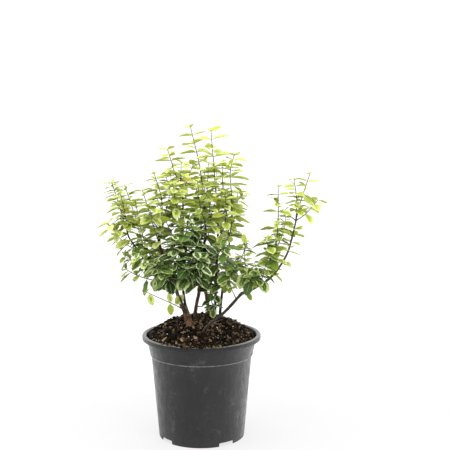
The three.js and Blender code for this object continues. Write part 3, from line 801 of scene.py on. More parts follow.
# ---- pot ----
@dataclass
class Pot:
    """A round nursery pot: turned-down lip, tapered collar, a step, a tapered wall and a footed floor."""

    finishes: Finishes
    height: float = 0.1495
    lip_radius: float = 0.085
    mouth_radius: float = 0.079
    lip_drop: float = 0.0065
    collar_top: float = 0.0783
    collar_bottom: float = 0.0738
    step_height: float = 0.12
    wall_top: float = 0.0721
    foot_radius: float = 0.0615
    wall: float = 0.0012
    floor_height: float = 0.0066
    pad_radius: float = 0.0285  # the flat middle of the floor
    ramp: float = 0.0045  # how far the floor takes to rise round it
    notch_angles: tuple[float, ...] = (-53, 36, 126, 216)
    notch: Place = (0.016, 0.0245, 0.0055)  # depth, width and height
    hole_radius: float = 0.0045
    hole_orbit: float = 0.047
    steps: int = 144

    def inner_radius(self, height: float) -> float:
        """The wall's inner radius at a height between the floor and the lip."""
        if height < self.step_height:
            z0, r0, z1, r1 = 0.0, self.foot_radius, self.step_height, self.wall_top
        else:
            z0, r0 = self.step_height, self.collar_bottom
            z1, r1 = self.height - self.lip_drop, self.collar_top
        return r0 + (r1 - r0) * (height - z0) / (z1 - z0) - self.wall

    def outline(self) -> list[tuple[float, float]]:
        """The pot's section, from the middle of its underside, up the outside and down the inside.

        Returns:
            (radius, height) of each point.
        """
        top, lip, mouth, wall = self.height, self.lip_radius, self.mouth_radius, self.wall
        foot, pad, step, floor = self.foot_radius, self.pad_radius, self.step_height, self.floor_height
        low, high, shoulder = self.collar_bottom, self.collar_top, self.wall_top
        lip_foot, ramp = top - self.lip_drop, pad + self.ramp
        outside = [
            (0.0, 0.0), (pad, 0.0), (pad + 0.001, 0.0004), (ramp, floor), (foot - 0.002, floor),
            (foot - wall, 0.0003), (foot - 0.0008, 0.0), (foot - 0.0001, 0.0004), (foot + 0.0002, 0.002),
        ]
        outside += [(foot + (shoulder - foot) * share, step * share) for share in (0.2, 0.4, 0.6, 0.8)]
        outside += [
            (shoulder - 0.0001, step - 0.0016), (shoulder + 0.0002, step - 0.0007),
            (low - 0.0004, step - 0.0003), (low - 0.0001, step + 0.0001), (low + 0.0001, step + 0.0008),
            (low, step + 0.0022), (low + 0.0016, step + 0.009), (low + 0.0031, step + 0.016),
            (high - 0.0002, lip_foot - 0.001), (high + 0.0002, lip_foot + 0.001),
            (mouth + 0.0004, top - 0.0024), (mouth + 0.0011, top - 0.0016), (lip - 0.0022, top - 0.0016),
            (lip - 0.0014, top - 0.0022), (lip - wall, top - 0.0032), (lip - wall, lip_foot + 0.0003),
            (lip - 0.0009, lip_foot), (lip - 0.0003, lip_foot), (lip, lip_foot + 0.0004),
        ]
        rim = [
            (lip, top - 0.0022), (lip - 0.0002, top - 0.0012), (lip - 0.0008, top - 0.0005),
            (lip - 0.0017, top - 0.0001), (lip - 0.0029, top), (mouth + 0.0018, top),
            (mouth + 0.0008, top - 0.0003), (mouth + 0.0001, top - 0.001), (mouth - 0.0004, top - 0.0026),
        ]
        heights = (lip_foot - 0.002, step + 0.0018, step - 0.001, 0.7 * step, 0.4 * step, floor + 2 * wall)
        inside = [(self.inner_radius(height), height) for height in heights]
        inside += [
            (self.inner_radius(floor) - wall, floor + wall), (ramp - wall, floor + wall),
            (pad - wall, wall), (0.0, wall),
        ]
        return outside + rim + inside

    def cut(self, pot: Piece, cutter: Piece) -> None:
        """Cuts a shape out of the pot.

        Args:
            pot: The pot.
            cutter: The shape, which is used up.
        """
        pick(pot)
        bpy.ops.object.modifier_add(type="BOOLEAN")
        cutting = pot.modifiers[-1]
        cutting.operation, cutting.solver, cutting.object = "DIFFERENCE", "EXACT", cutter
        bpy.ops.object.modifier_apply(modifier=cutting.name)
        clear(cutter)

    def build(self) -> Piece:
        """Spins the pot, cuts its drainage notches and holes, and dresses it.

        Returns:
            The pot.
        """
        pot = spun("pot_body", self.outline(), self.steps)
        depth, width, height = self.notch
        for angle in self.notch_angles:
            turn = math.radians(angle - 90)
            out = Vector((math.cos(turn), math.sin(turn), 0))
            place = {"location": self.foot_radius * out, "rotation": (0, 0, turn)}
            size = (depth, width, 2 * height)
            notch = fresh(bpy.ops.mesh.primitive_cube_add, size=1, scale=size, **place)
            with editing(notch):
                mark(notch, lambda point: point.co.z > 0)
                bpy.ops.mesh.bevel(offset=0.0016, segments=4, affect="EDGES")
            self.cut(pot, settle(notch, "notch"))
            place = self.hole_orbit * out + self.floor_height * UP
            size = {"vertices": 24, "radius": self.hole_radius, "depth": 5 * self.wall}
            hole = fresh(bpy.ops.mesh.primitive_cylinder_add, location=place, **size)
            self.cut(pot, settle(hole, "hole"))
        smooth(pot, 34)
        pot.data.materials.clear()
        pot.data.materials.append(self.finishes.pot)
        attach(pot, "root")
        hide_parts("pot")
        return pot


# ---- soil ----
@dataclass
class Soil:
    """Bark compost heaped in the pot: a lumpy bed, loose crumbs, bark chips, grit and fibres."""

    finishes: Finishes
    pot: Pot
    gap: float = 0.0003  # between the soil and the pot's floor
    edge_radius: float = 0.0756
    edge_height: float = 0.1455
    rings: int = 54
    sides: int = 224
    rise: float = 0.0265
    steepness: float = 2.6
    tilt: float = 0.0014
    crumbs: int = 1500
    chips: int = 420
    grit: int = 180
    fibres: int = 70
    spilt: int = 300
    spill: Span = (-92, 13)  # where round the lip soil is spilt, and how far it spreads, in degrees
    draw: random.Random = field(default_factory=lambda: random.Random(11))

    def top(self, x: float, y: float) -> float:
        """The height of the heap at a place, without its lumps.

        Args:
            x: Across.
            y: Back from the front.

        Returns:
            The height.
        """
        out = math.hypot(x, y) / self.edge_radius
        heap = self.rise * (1 - out**self.steepness)
        waves = math.sin(230 * x + 1.3) * math.cos(190 * y - 0.4) + 0.5 * math.sin(410 * x - 370 * y)
        return self.edge_height + heap + self.tilt * (y - x) / self.edge_radius + 0.0007 * waves

    def slope(self, x: float, y: float) -> Matrix:
        """The turn that lays something upright down along the slope of the heap.

        Args:
            x: Across.
            y: Back from the front.

        Returns:
            The turn.
        """
        near = 0.003
        east = self.top(x + near, y) - self.top(x - near, y)
        north = self.top(x, y + near) - self.top(x, y - near)
        return UP.rotation_difference(Vector((-east, -north, 2 * near))).to_matrix()

    def bed(self) -> Piece:
        """The bed of compost, which fills the pot.

        Returns:
            The piece.
        """
        base, step = self.pot.wall + self.gap, self.pot.step_height
        floor = self.pot.floor_height + base
        heights = (floor, 0.06, step - 0.0014, step + 0.0022, 0.142)
        side = [(self.pot.inner_radius(height) - 2 * self.gap, height) for height in heights]
        rings = range(self.rings, -1, -1)
        top = [(self.edge_radius * ring / self.rings, self.edge_height) for ring in rings]
        bed = spun("soil_bed", [(0.0, base), (0.026, base), (0.0312, floor), *side, *top], self.sides)
        for point in bed.data.vertices:
            x, y, z = point.co
            if abs(z - self.edge_height) < 1e-5:
                clods = noise.fractal(Vector((x, y, 0.3)) * 170, 0.7, 2.0, 3)
                grains = noise.fractal(Vector((x, y, 0.7)) * 620, 0.6, 2.0, 2)
                calm = min(1.0, (1 - math.hypot(x, y) / self.edge_radius) * 12)
                point.co.z = self.top(x, y) + calm * (0.0012 * clods + 0.0008 * grains)
        smooth(bed, 60)
        bed.data.materials.append(self.finishes.soil)
        return bed

    def lump(self, squash: Place) -> Piece:
        """One rough lump, modelled once and copied.

        Args:
            squash: Its size along each axis.

        Returns:
            The lump, one across before it is squashed.
        """
        lump = fresh(bpy.ops.mesh.primitive_ico_sphere_add, subdivisions=1, radius=0.5)
        with editing(lump):
            bpy.ops.transform.vertex_random(offset=0.14, uniform=1.0, seed=self.draw.randrange(1000))
            bpy.ops.transform.resize(value=squash)
        return settle(lump, "lump")

    def chip(self) -> Piece:
        """One flat splinter of bark, modelled once and copied.

        Returns:
            The splinter, one long in Y.
        """
        chip = fresh(bpy.ops.mesh.primitive_cube_add, size=1, scale=(0.4, 1.0, 0.16))
        with editing(chip):
            bpy.ops.mesh.subdivide(number_cuts=1)
            bpy.ops.transform.vertex_random(offset=0.1, uniform=0.6, seed=self.draw.randrange(1000))
            mark(chip, lambda point: point.co.y > 0.3)
            bpy.ops.transform.resize(value=(0.4, 1, 0.6))
        return settle(chip, "chip")

    def strand(self) -> Piece:
        """One thin curled root fibre, modelled once and copied.

        Returns:
            The fibre, one long in Y.
        """
        upright = (math.pi / 2, 0, 0)
        end = {"vertices": 4, "radius": 0.018, "fill_type": "NGON", "rotation": upright}
        strand = fresh(bpy.ops.mesh.primitive_circle_add, **end)
        with editing(strand):
            for _ in range(5):
                bend = (self.draw.uniform(-0.09, 0.09), 0.2, self.draw.uniform(-0.05, 0.06))
                bpy.ops.mesh.extrude_region_move(TRANSFORM_OT_translate={"value": bend})
            bpy.ops.mesh.select_all(action="SELECT")
            bpy.ops.mesh.normals_make_consistent(inside=False)
        return settle(strand, "strand")

    def scatter(
        self,
        name: str,
        models: Sequence[Piece],
        count: int,
        sizes: tuple[float, float],
        steep: float,
        finish: bpy.types.Material,
        spilt: bool = False,
    ) -> Piece:
        """Strews copies of some shapes over the heap and joins them.

        Args:
            name: The joined piece's name.
            models: The shapes, which are used up.
            count: How many copies there are.
            sizes: The smallest and the largest copy.
            steep: How far a copy may lean, in radians.
            finish: Its material.
            spilt: Whether they lie on the front of the pot's lip instead of on the heap.

        Returns:
            The piece.
        """
        lumps = []
        for _ in range(count):
            size = sizes[0] + (sizes[1] - sizes[0]) * self.draw.random() ** 2.2
            if spilt:
                angle = math.radians(self.draw.gauss(*self.spill))
                radius = self.draw.uniform(self.pot.mouth_radius - 0.0015, self.pot.lip_radius - 0.0005)
                ground = self.pot.height
            else:
                angle = self.draw.uniform(0, 2 * math.pi)
                room = max(0.002, size - 0.004)  # long ones stay clear of the pot's wall
                radius = (self.edge_radius - room) * math.sqrt(self.draw.random())
                ground = self.top(radius * math.cos(angle), radius * math.sin(angle))
            x, y = radius * math.cos(angle), radius * math.sin(angle)
            place = Vector((x, y, ground + size * self.draw.uniform(0.02, 0.2)))
            lean = Matrix.Rotation(self.draw.uniform(-steep, steep), 3, "X")
            turn = Matrix.Rotation(self.draw.uniform(0, 2 * math.pi), 3, "Z") @ lean
            if not spilt:
                turn = self.slope(x, y) @ turn
            matrix = Matrix.LocRotScale(place, turn, Vector((size, size, size)))
            lumps.append(copied(self.draw.choice(models), matrix, (0.5, self.draw.random(), 0.5)))
        clear(*models)
        piece = joined(name, lumps)
        piece.data.materials.append(finish)
        return piece

    def build(self) -> list[Piece]:
        """Makes the bed and everything strewn on it.

        Returns:
            The pieces.
        """
        squashes = [(1, 1, 0.8), (1.2, 0.9, 0.6), (0.8, 1.3, 0.7), (1, 0.8, 0.9)]
        pieces = [
            self.bed(),
            self.scatter(
                "soil_crumbs", [self.lump(squash) for squash in squashes],
                self.crumbs, (0.0014, 0.0058), 1.2, self.finishes.crumb,
            ),
            self.scatter(
                "soil_bark_chips", [self.chip() for _ in range(4)],
                self.chips, (0.0025, 0.0085), 0.7, self.finishes.chip,
            ),
            self.scatter(
                "soil_grit", [self.lump((1, 0.9, 0.8)) for _ in range(2)],
                self.grit, (0.0008, 0.0026), 1.2, self.finishes.grit,
            ),
            self.scatter(
                "soil_spilt_on_lip", [self.lump(squash) for squash in squashes],
                self.spilt, (0.0014, 0.0046), 1.2, self.finishes.crumb, spilt=True,
            ),
            self.scatter(
                "soil_fibres", [self.strand() for _ in range(4)],
                self.fibres, (0.006, 0.015), 0.2, self.finishes.chip,
            ),
        ]
        for piece in pieces:
            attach(piece, "root")
            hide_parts("soil")
        return pieces


# ---- the plant ----
def squared(direction: Vector, axis: Vector) -> Vector:
    """A direction turned square to an axis, one long."""
    return (direction - axis * direction.dot(axis)).normalized()


def finder(places: Sequence[Vector]) -> KDTree:
    """Finds the nearest of some places.

    Args:
        places: The places.

    Returns:
        A tree that gives each place's number.
    """
    tree = KDTree(len(places))
    for number, place in enumerate(places):
        tree.insert(place, number)
    tree.balance()
    return tree


class Line:
    """The smooth line that a stem runs along, through all its points."""

    STEPS = 200

    def __init__(self, points: Sequence[Vector]) -> None:
        """Measures the line.

        Args:
            points: The points it runs through.
        """
        self.points = list(points)
        places = [self.at(i / self.STEPS) for i in range(self.STEPS + 1)]
        self.lengths = [0.0]
        for one, other in zip(places, places[1:]):
            self.lengths.append(self.lengths[-1] + (other - one).length)

    def at(self, share: float) -> Vector:
        """The place at a share of the way through the points.

        Args:
            share: From 0 to 1.

        Returns:
            The place.
        """
        points, last = self.points, len(self.points) - 1
        i = min(int(last * share), last - 1)
        t = last * share - i
        one, two = points[i], points[i + 1]
        before = points[i - 1] if i else 2 * one - two
        after = points[i + 2] if i + 2 <= last else 2 * two - one
        out, into = 0.5 * (two - before), 0.5 * (after - one)
        cubic = 2 * one - 2 * two + out + into
        square = 3 * two - 3 * one - 2 * out - into
        return one + out * t + square * t**2 + cubic * t**3

    def heading(self, share: float) -> Vector:
        """The direction of growth at a share of the way.

        Args:
            share: From 0 to 1.

        Returns:
            The direction.
        """
        small = 0.0001
        return (self.at(min(1.0, share + small)) - self.at(max(0.0, share - small))).normalized()

    def evenly(self, count: int) -> list[Vector]:
        """Places at equal distances along the line.

        Args:
            count: How many stretches they make.

        Returns:
            One place more than that.
        """
        places = []
        for k in range(count + 1):
            goal = self.lengths[-1] * k / count
            i = min(max(bisect_left(self.lengths, goal) - 1, 0), self.STEPS - 1)
            part = (goal - self.lengths[i]) / (self.lengths[i + 1] - self.lengths[i])
            places.append(self.at((i + part) / self.STEPS))
        return places


@dataclass(frozen=True)
class Leaves:
    """A twig's leaves. The first and last place along it, and their age, go from 0 to 1."""

    pairs: int
    first: float
    last: float
    length: float
    age: float


@dataclass(frozen=True)
class Twig:
    """One stem or twig: its CAD node, what it grows on and where, its two radii and its points."""

    node: str
    on: str
    at: float | None
    foot: float
    tip: float
    leaves: Leaves | None
    points: tuple[Place, ...]

    @classmethod
    def from_row(
        cls, node: str, on: str, at: float | None, foot: float, tip: float,
        leaves: tuple[float, ...] | None, *points: Place,
    ) -> "Twig":
        """A twig from its row in TWIGS, whose sizes are in millimetres.

        Args:
            node: Its CAD node.
            on: The node that it grows on.
            at: Where along that, from 0 to 1, or None where it has its own foot.
            foot: Its radius at the foot.
            tip: Its radius at the tip.
            leaves: Pairs, first and last place, length and age, or None.
            points: The points that it runs through.

        Returns:
            The twig, in metres.
        """
        if leaves:
            pairs, first, last, length, age = leaves
            leaves = Leaves(pairs, first, last, length / MM, age)
        places = tuple((x / MM, y / MM, z / MM) for x, y, z in points)
        return cls(node, on, at, foot / MM, tip / MM, leaves, places)


@dataclass(frozen=True)
class Pairing:
    """How the pairs of leaves sit along a twig. Angles are in degrees."""

    top: float = 0.98  # the last pair sits this far along a twig, just short of its end
    crowding: float = 0.3  # how much closer together the pairs are towards the end
    twig_turn: float = 80
    leaf_turn: float = 26
    lift: float = -6
    lift_to_end: float = 24
    lift_at_tip: float = 2
    lift_spread: float = 14
    age_drop: float = 8
    levelling: float = 0.65  # how much of its slope a leaf keeps as it turns to the light
    droop: float = 0.14
    lean: float = 0.25  # how far a leaf's face follows the twig rather than the sky
    roll: float = 44
    age_roll: float = 24
    shortest: float = 0.84  # the least of a twig's usual leaf length
    spread: float = 0.32  # and how much longer than that a leaf may be
    tip_taper: float = 0.36  # how much shorter the leaves at the end of a shoot are


@dataclass(frozen=True)
class BroadLeaf:
    """A single leaf that stands out from the rest.

    It has its CAD node, which of the node's twigs it grows on and where along that, where it points,
    where its upper side faces, its length in millimetres and its age.
    """

    node: str
    which: int
    along: float
    ahead: Place
    face: Place
    length: float
    age: float


@dataclass(frozen=True)
class LeafPlace:
    """Where one leaf sits, where its twig, its tip and its face point, and how long it is."""

    foot: Vector
    stem: Vector
    ahead: Vector
    face: Vector
    length: float


WOODY = 0.0014  # a twig thicker than this at its foot is a stem
BARKED = 0.0025  # a stem thicker than this has old bark
STOUT = 0.0028  # and one thicker than this is rounder
# Each row is a twig: its node, what it grows on and where along that, its radius at the foot and at the
# tip, its leaves as (pairs, first, last, length, age), and the points that it runs through after its
# foot, or from its foot where it has its own. Rows with one node grow together. Millimetres.
TWIGS = (
    ("trunk", "soil", None, 5.8, 4.7, None, (-14, -31, 146), (-17, -29, 169), (-20, -26, 181),
        (-24, -22, 192)),
    ("left_stem", "trunk", None, 2.6, 1.7, None, (-26.5, -22.5, 191), (-31, -20, 204), (-38, -17, 222),
        (-48, -14, 246), (-56, -11, 270), (-60, -7, 293)),
    ("inner_left_stem", "trunk", None, 2, 1.2, None, (-21.5, -20, 191), (-25, -12, 210), (-28, 0, 236),
        (-28, 6, 264), (-26, 7, 300), (-26, 6, 350)),
    ("front_stem", "trunk", 0.72, 1.7, 1.1, None, (-24, -36, 197), (-30, -46, 214), (-35, -50, 236)),
    ("far_left_stem", "left_stem", 0.4, 1.6, 1.1, None, (-54, -9, 237), (-74, -1, 255), (-92, 3, 272),
        (-103, 3, 288)),
    ("centre_stem", "soil", None, 2.9, 1.5, None, (-10, -2, 150), (-8.6, 0, 182), (-4, 2, 206),
        (0.4, 5, 230), (3, 8, 262), (6, 10, 302)),
    ("bare_twig", "centre_stem", 0.26, 0.9, 0.5, None, (-1, 4, 187), (5, 8, 190)),
    ("back_stem", "soil", None, 3.1, 1.5, None, (11, 17, 148), (10, 16, 178), (8, 17, 192), (4, 21, 216),
        (-2, 28, 246), (-6, 35, 276)),
    ("back_right_stem", "soil", None, 2.3, 1.3, None, (26, 24, 148), (27, 27, 180), (31, 34, 212),
        (37, 40, 244), (40, 43, 274)),
    ("upright_stem", "soil", None, 2.1, 1.4, (6, 0.24, 0.55, 17, 0.9), (19, 12, 150), (19.5, 11, 176),
        (20.5, 7, 228), (23, 4, 268), (24, 3, 310)),
    ("right_stem", "soil", None, 2.2, 2.2, None, (0, -50, 146), (5, -46, 166), (33, -35, 188),
        (56.5, -25, 212)),
    ("right_limb", "right_stem", 1, 2, 1.2, (7, 0.3, 0.92, 21, 0.35), (75, -20, 219), (100, -14, 235),
        (120, -8, 263), (129, -3, 290), (134, 0, 311)),
    ("centre_tips", "centre_stem", 1, 1.1, 0.5, (9, 0.1, 1, 29, 0.1), (-1, 14, 380), (-15.5, 20, 445)),
    ("centre_tips", "centre_tips", 0.05, 0.8, 0.4, (7, 0.2, 1, 24, 0.2), (-4, 28, 336), (-10, 38, 370)),
    ("centre_tips", "centre_tips", 0.13, 0.8, 0.4, (7, 0.2, 1, 25, 0.15), (8, -4, 348), (11, -10, 396)),
    ("upright_tips", "upright_stem", 1, 1.1, 0.5, (9, 0.1, 1, 29, 0.1), (19, 8, 375), (14, 0, 440)),
    ("upright_tips", "upright_tips", 0.06, 0.8, 0.4, (6, 0.25, 1, 24, 0.25), (44, 14, 330), (60, 20, 350)),
    ("upright_tips", "upright_tips", 0.12, 0.8, 0.4, (7, 0.2, 1, 25, 0.15), (29, -8, 352), (31, -12, 398)),
    ("inner_left_tips", "inner_left_stem", 1, 1, 0.5, (7, 0.14, 1, 27, 0.12), (-37, 4, 380), (-47, 0, 414)),
    ("inner_left_tips", "inner_left_tips", 0.05, 0.8, 0.4, (5, 0.3, 1, 21, 0.15), (-18, 13, 372),
        (-12, 20, 391)),
    ("inner_left_tips", "inner_left_tips", 0.12, 0.8, 0.4, (5, 0.25, 1, 21, 0.2), (-28, -9, 372),
        (-27, -16, 396)),
    ("upright_shoot_1", "upright_stem", 0.71, 1.2, 0.5, (10, 0.4, 1, 25, 0.2), (34, 1, 281), (42, 0, 300),
        (43, 0, 345), (41, 0, 380), (47, 0, 407)),
    ("left_tips", "left_stem", 1, 1, 0.5, (9, 0.12, 1, 25, 0.2), (-55, -3, 338), (-66, 0, 380)),
    ("left_tips", "left_tips", 0.08, 0.8, 0.4, (6, 0.25, 1, 23, 0.3), (-66, -30, 316), (-70, -44, 340)),
    ("left_tips", "left_tips", 0.14, 0.8, 0.4, (6, 0.22, 1, 23, 0.2), (-47, 12, 338), (-43, 18, 376)),
    ("left_shoot_5", "left_stem", 0.82, 1, 0.5, (10, 0.16, 1, 24, 0.25), (-68, -16, 312), (-81, -20, 358)),
    ("far_left_tips", "far_left_stem", 1, 1, 0.5, (12, 0.1, 1, 21, 0.5), (-114, 5, 325), (-127, 10, 366)),
    ("far_left_tips", "far_left_tips", 0.06, 0.8, 0.4, (6, 0.25, 1, 24, 0.3), (-118, -10, 298),
        (-131, -20, 311)),
    ("far_left_tips", "far_left_tips", 0.14, 0.8, 0.4, (8, 0.22, 1, 22, 0.4), (-106, -10, 318),
        (-112, -14, 352)),
    ("far_left_shoot_2", "far_left_stem", 0.58, 1, 0.5, (12, 0.16, 1, 21, 0.5), (-92, 16, 306),
        (-111, 30, 361)),
    ("far_left_shoot_3", "far_left_stem", 0.4, 1, 0.5, (10, 0.16, 1, 24, 0.3), (-82, -10, 292),
        (-92, -12, 342)),
    ("inner_left_shoot_4", "inner_left_stem", 0.755, 0.9, 0.5, (8, 0.2, 1, 24, 0.25), (-38, 14, 335),
        (-51, 25, 373)),
    ("inner_left_shoot_4", "inner_left_shoot_4", 0.35, 0.7, 0.4, (5, 0.25, 1, 22, 0.3), (-56, 18, 326),
        (-66, 20, 350)),
    ("inner_left_shoot_5", "inner_left_stem", 0.84, 0.9, 0.5, (8, 0.2, 1, 24, 0.25), (-34, -14, 334),
        (-38, -28, 366)),
    ("right_tips", "right_limb", 1, 1, 0.5, (5, 0.3, 1, 22, 0.25), (135, 0, 340), (131, 0, 371)),
    ("right_tips", "right_tips", 0.03, 0.8, 0.5, (5, 0.35, 1, 24, 0.15), (142, 5, 342), (154, 10, 378)),
    ("right_tips", "right_tips", 0.02, 0.8, 0.5, (4, 0.5, 1, 22, 0.2), (148, -5, 323), (164, -10, 343)),
    ("right_tips", "right_tips", 0.02, 0.7, 0.4, (1, 1, 1, 14, 0.3), (124, -5, 321), (118, -8, 329)),
    ("right_shoot_1", "right_limb", 0.4, 1.2, 0.5, (11, 0.12, 1, 24, 0.5), (104, -13, 272), (108, -12, 310),
        (108, -10, 364)),
    ("right_shoot_1", "right_shoot_1", 0.12, 0.8, 0.4, (5, 0.3, 1, 23, 0.6), (96, -22, 270),
        (90, -28, 292)),
    ("right_shoot_1", "right_shoot_1", 0.3, 0.8, 0.4, (4, 0.3, 1, 22, 0.5), (116, -2, 296), (120, 4, 318)),
    ("right_shoot_2", "right_limb", 0.1, 0.9, 0.5, (6, 0.2, 1, 19, 0.45), (62, -22, 250), (61, -22, 286)),
    ("right_shoot_2", "right_shoot_2", 0.06, 0.8, 0.4, (3, 0.4, 1, 21, 0.8), (70, -32, 234),
        (78, -38, 246)),
    ("right_shoot_3", "right_stem", 0.9, 0.7, 0.4, (3, 0.5, 1, 17, 0.5), (42, -26, 222), (39, -24, 240)),
    ("right_shoot_4", "right_limb", 0.26, 0.8, 0.4, (4, 0.3, 1, 20, 0.75), (87, -24, 238), (91, -30, 256)),
    ("right_shoot_4", "right_shoot_4", 0.12, 0.7, 0.4, (4, 0.3, 1, 23, 0.8), (80, -14, 241),
        (75, -10, 254)),
    ("low_left_twig", "trunk", 0.86, 0.8, 0.5, (1, 1, 1, 12, 0.3), (-35, -32, 197), (-56, -38, 208),
        (-76, -40, 218)),
    ("left_shoot_1", "left_stem", 0.44, 1, 0.5, (5, 0.3, 1, 26, 0.6), (-62, -18, 229), (-88, -18, 236),
        (-106, -18, 246)),
    ("left_shoot_2", "left_stem", 0.36, 0.9, 0.5, (5, 0.3, 1, 25, 0.85), (-54, -36, 242), (-70, -46, 260)),
    ("left_shoot_3", "left_stem", 0.52, 0.9, 0.5, (6, 0.25, 1, 27, 0.75), (-66, -28, 252), (-88, -34, 272)),
    ("left_shoot_4", "left_stem", 0.69, 0.9, 0.5, (6, 0.25, 1, 25, 0.6), (-58, 6, 272), (-62, 24, 300)),
    ("far_left_shoot_5", "far_left_stem", 0.7, 0.8, 0.4, (5, 0.25, 1, 24, 0.5), (-108, 16, 276),
        (-126, 26, 292)),
    ("far_left_shoot_6", "far_left_stem", 0.32, 0.8, 0.4, (4, 0.35, 1, 25, 0.6), (-84, -8, 252),
        (-108, -8, 262)),
    ("inner_left_shoot_1", "inner_left_stem", 0.34, 0.9, 0.5, (5, 0.25, 1, 27, 0.8), (-46, 16, 240),
        (-62, 34, 262)),
    ("inner_left_shoot_2", "inner_left_stem", 0.5, 0.9, 0.5, (5, 0.22, 1, 26, 0.7), (-30, -22, 272),
        (-30, -38, 298)),
    ("inner_left_shoot_3", "inner_left_stem", 0.64, 0.9, 0.5, (5, 0.22, 1, 24, 0.6), (-44, 22, 292),
        (-56, 34, 318)),
    ("front_shoot_1", "front_stem", 0.74, 0.9, 0.5, (4, 0.4, 1, 25, 0.85), (-46, -48, 240),
        (-64, -56, 256)),
    ("front_shoot_2", "front_stem", 0.86, 0.9, 0.5, (5, 0.35, 1, 25, 0.9), (-12, -56, 246), (2, -66, 264)),
    ("front_shoot_3", "front_stem", 0.93, 0.8, 0.4, (5, 0.25, 1, 25, 0.8), (-50, -62, 248),
        (-62, -70, 268)),
    ("front_tips", "front_stem", 1, 0.9, 0.4, (7, 0.13, 1, 25, 0.75), (-33, -58, 266), (-36, -60, 300)),
    ("front_tips", "front_tips", 0.11, 0.8, 0.4, (5, 0.22, 1, 26, 0.75), (-16, -64, 256), (-6, -72, 280)),
    ("front_tips", "front_tips", 0.4, 0.8, 0.4, (6, 0.22, 1, 24, 0.5), (-22, -52, 292), (-14, -48, 330)),
    ("centre_shoot_1", "centre_stem", 0.5, 1, 0.5, (5, 0.28, 1, 25, 0.95), (-4, -20, 242), (2, -38, 268)),
    ("centre_shoot_2", "centre_stem", 0.63, 1, 0.5, (5, 0.22, 1, 27, 0.8), (6, -16, 256), (10, -34, 280)),
    ("centre_shoot_3", "centre_stem", 0.76, 0.9, 0.5, (5, 0.22, 1, 25, 0.7), (-8, -12, 284),
        (-10, -28, 316)),
    ("centre_shoot_4", "centre_stem", 0.87, 0.9, 0.5, (6, 0.2, 1, 24, 0.3), (13, -14, 306), (12, -26, 342)),
    ("centre_shoot_4", "centre_shoot_4", 0.4, 0.8, 0.4, (7, 0.2, 1, 23, 0.25), (0, -28, 332),
        (-4, -34, 372)),
    ("back_shoot_1", "back_stem", 0.46, 0.9, 0.5, (5, 0.4, 1, 26, 0.85), (-8, 40, 228), (-18, 56, 250)),
    ("back_shoot_2", "back_stem", 0.6, 0.9, 0.5, (5, 0.25, 1, 27, 0.8), (12, 46, 234), (10, 66, 258)),
    ("back_shoot_3", "back_stem", 0.76, 0.9, 0.5, (5, 0.22, 1, 26, 0.7), (-22, 46, 256), (-40, 60, 282)),
    ("back_shoot_4", "back_stem", 0.86, 0.9, 0.5, (5, 0.22, 1, 25, 0.65), (6, 56, 280), (2, 70, 312)),
    ("back_tips", "back_stem", 1, 1, 0.5, (9, 0.1, 1, 23, 0.25), (2, 44, 322), (4, 48, 380)),
    ("back_tips", "back_tips", 0.07, 0.8, 0.4, (6, 0.21, 1, 24, 0.35), (-26, 50, 302), (-38, 58, 336)),
    ("back_tips", "back_tips", 0.18, 0.8, 0.4, (7, 0.22, 1, 23, 0.25), (18, 40, 328), (22, 36, 384)),
    ("back_right_shoot_1", "back_right_stem", 0.44, 0.9, 0.5, (4, 0.35, 1, 24, 0.8), (42, 44, 226),
        (50, 54, 248)),
    ("back_right_shoot_2", "back_right_stem", 0.61, 0.9, 0.5, (5, 0.22, 1, 26, 0.7), (54, 44, 244),
        (66, 54, 272)),
    ("back_right_tips", "back_right_stem", 1, 1, 0.5, (8, 0.12, 1, 23, 0.25), (36, 40, 320), (30, 40, 370)),
    ("back_right_tips", "back_right_tips", 0.05, 0.8, 0.4, (5, 0.22, 1, 25, 0.5), (36, 64, 288),
        (32, 76, 310)),
    ("back_right_tips", "back_right_tips", 0.2, 0.8, 0.4, (5, 0.22, 1, 23, 0.3), (50, 34, 318),
        (52, 28, 350)),
    ("upright_shoot_3", "upright_stem", 0.43, 0.9, 0.5, (5, 0.25, 1, 25, 0.7), (38, -10, 230),
        (50, -22, 252)),
    ("upright_shoot_4", "upright_stem", 0.6, 0.9, 0.5, (5, 0.22, 1, 25, 0.7), (30, -18, 262),
        (34, -34, 292)),
    ("upright_shoot_5", "upright_stem", 0.845, 0.9, 0.5, (7, 0.2, 1, 23, 0.25), (34, -18, 312),
        (34, -26, 356)),
    ("upright_shoot_6", "upright_stem", 0.24, 0.9, 0.4, (5, 0.25, 1, 18, 0.9), (14, -2, 200),
        (14, -10, 226)),
)
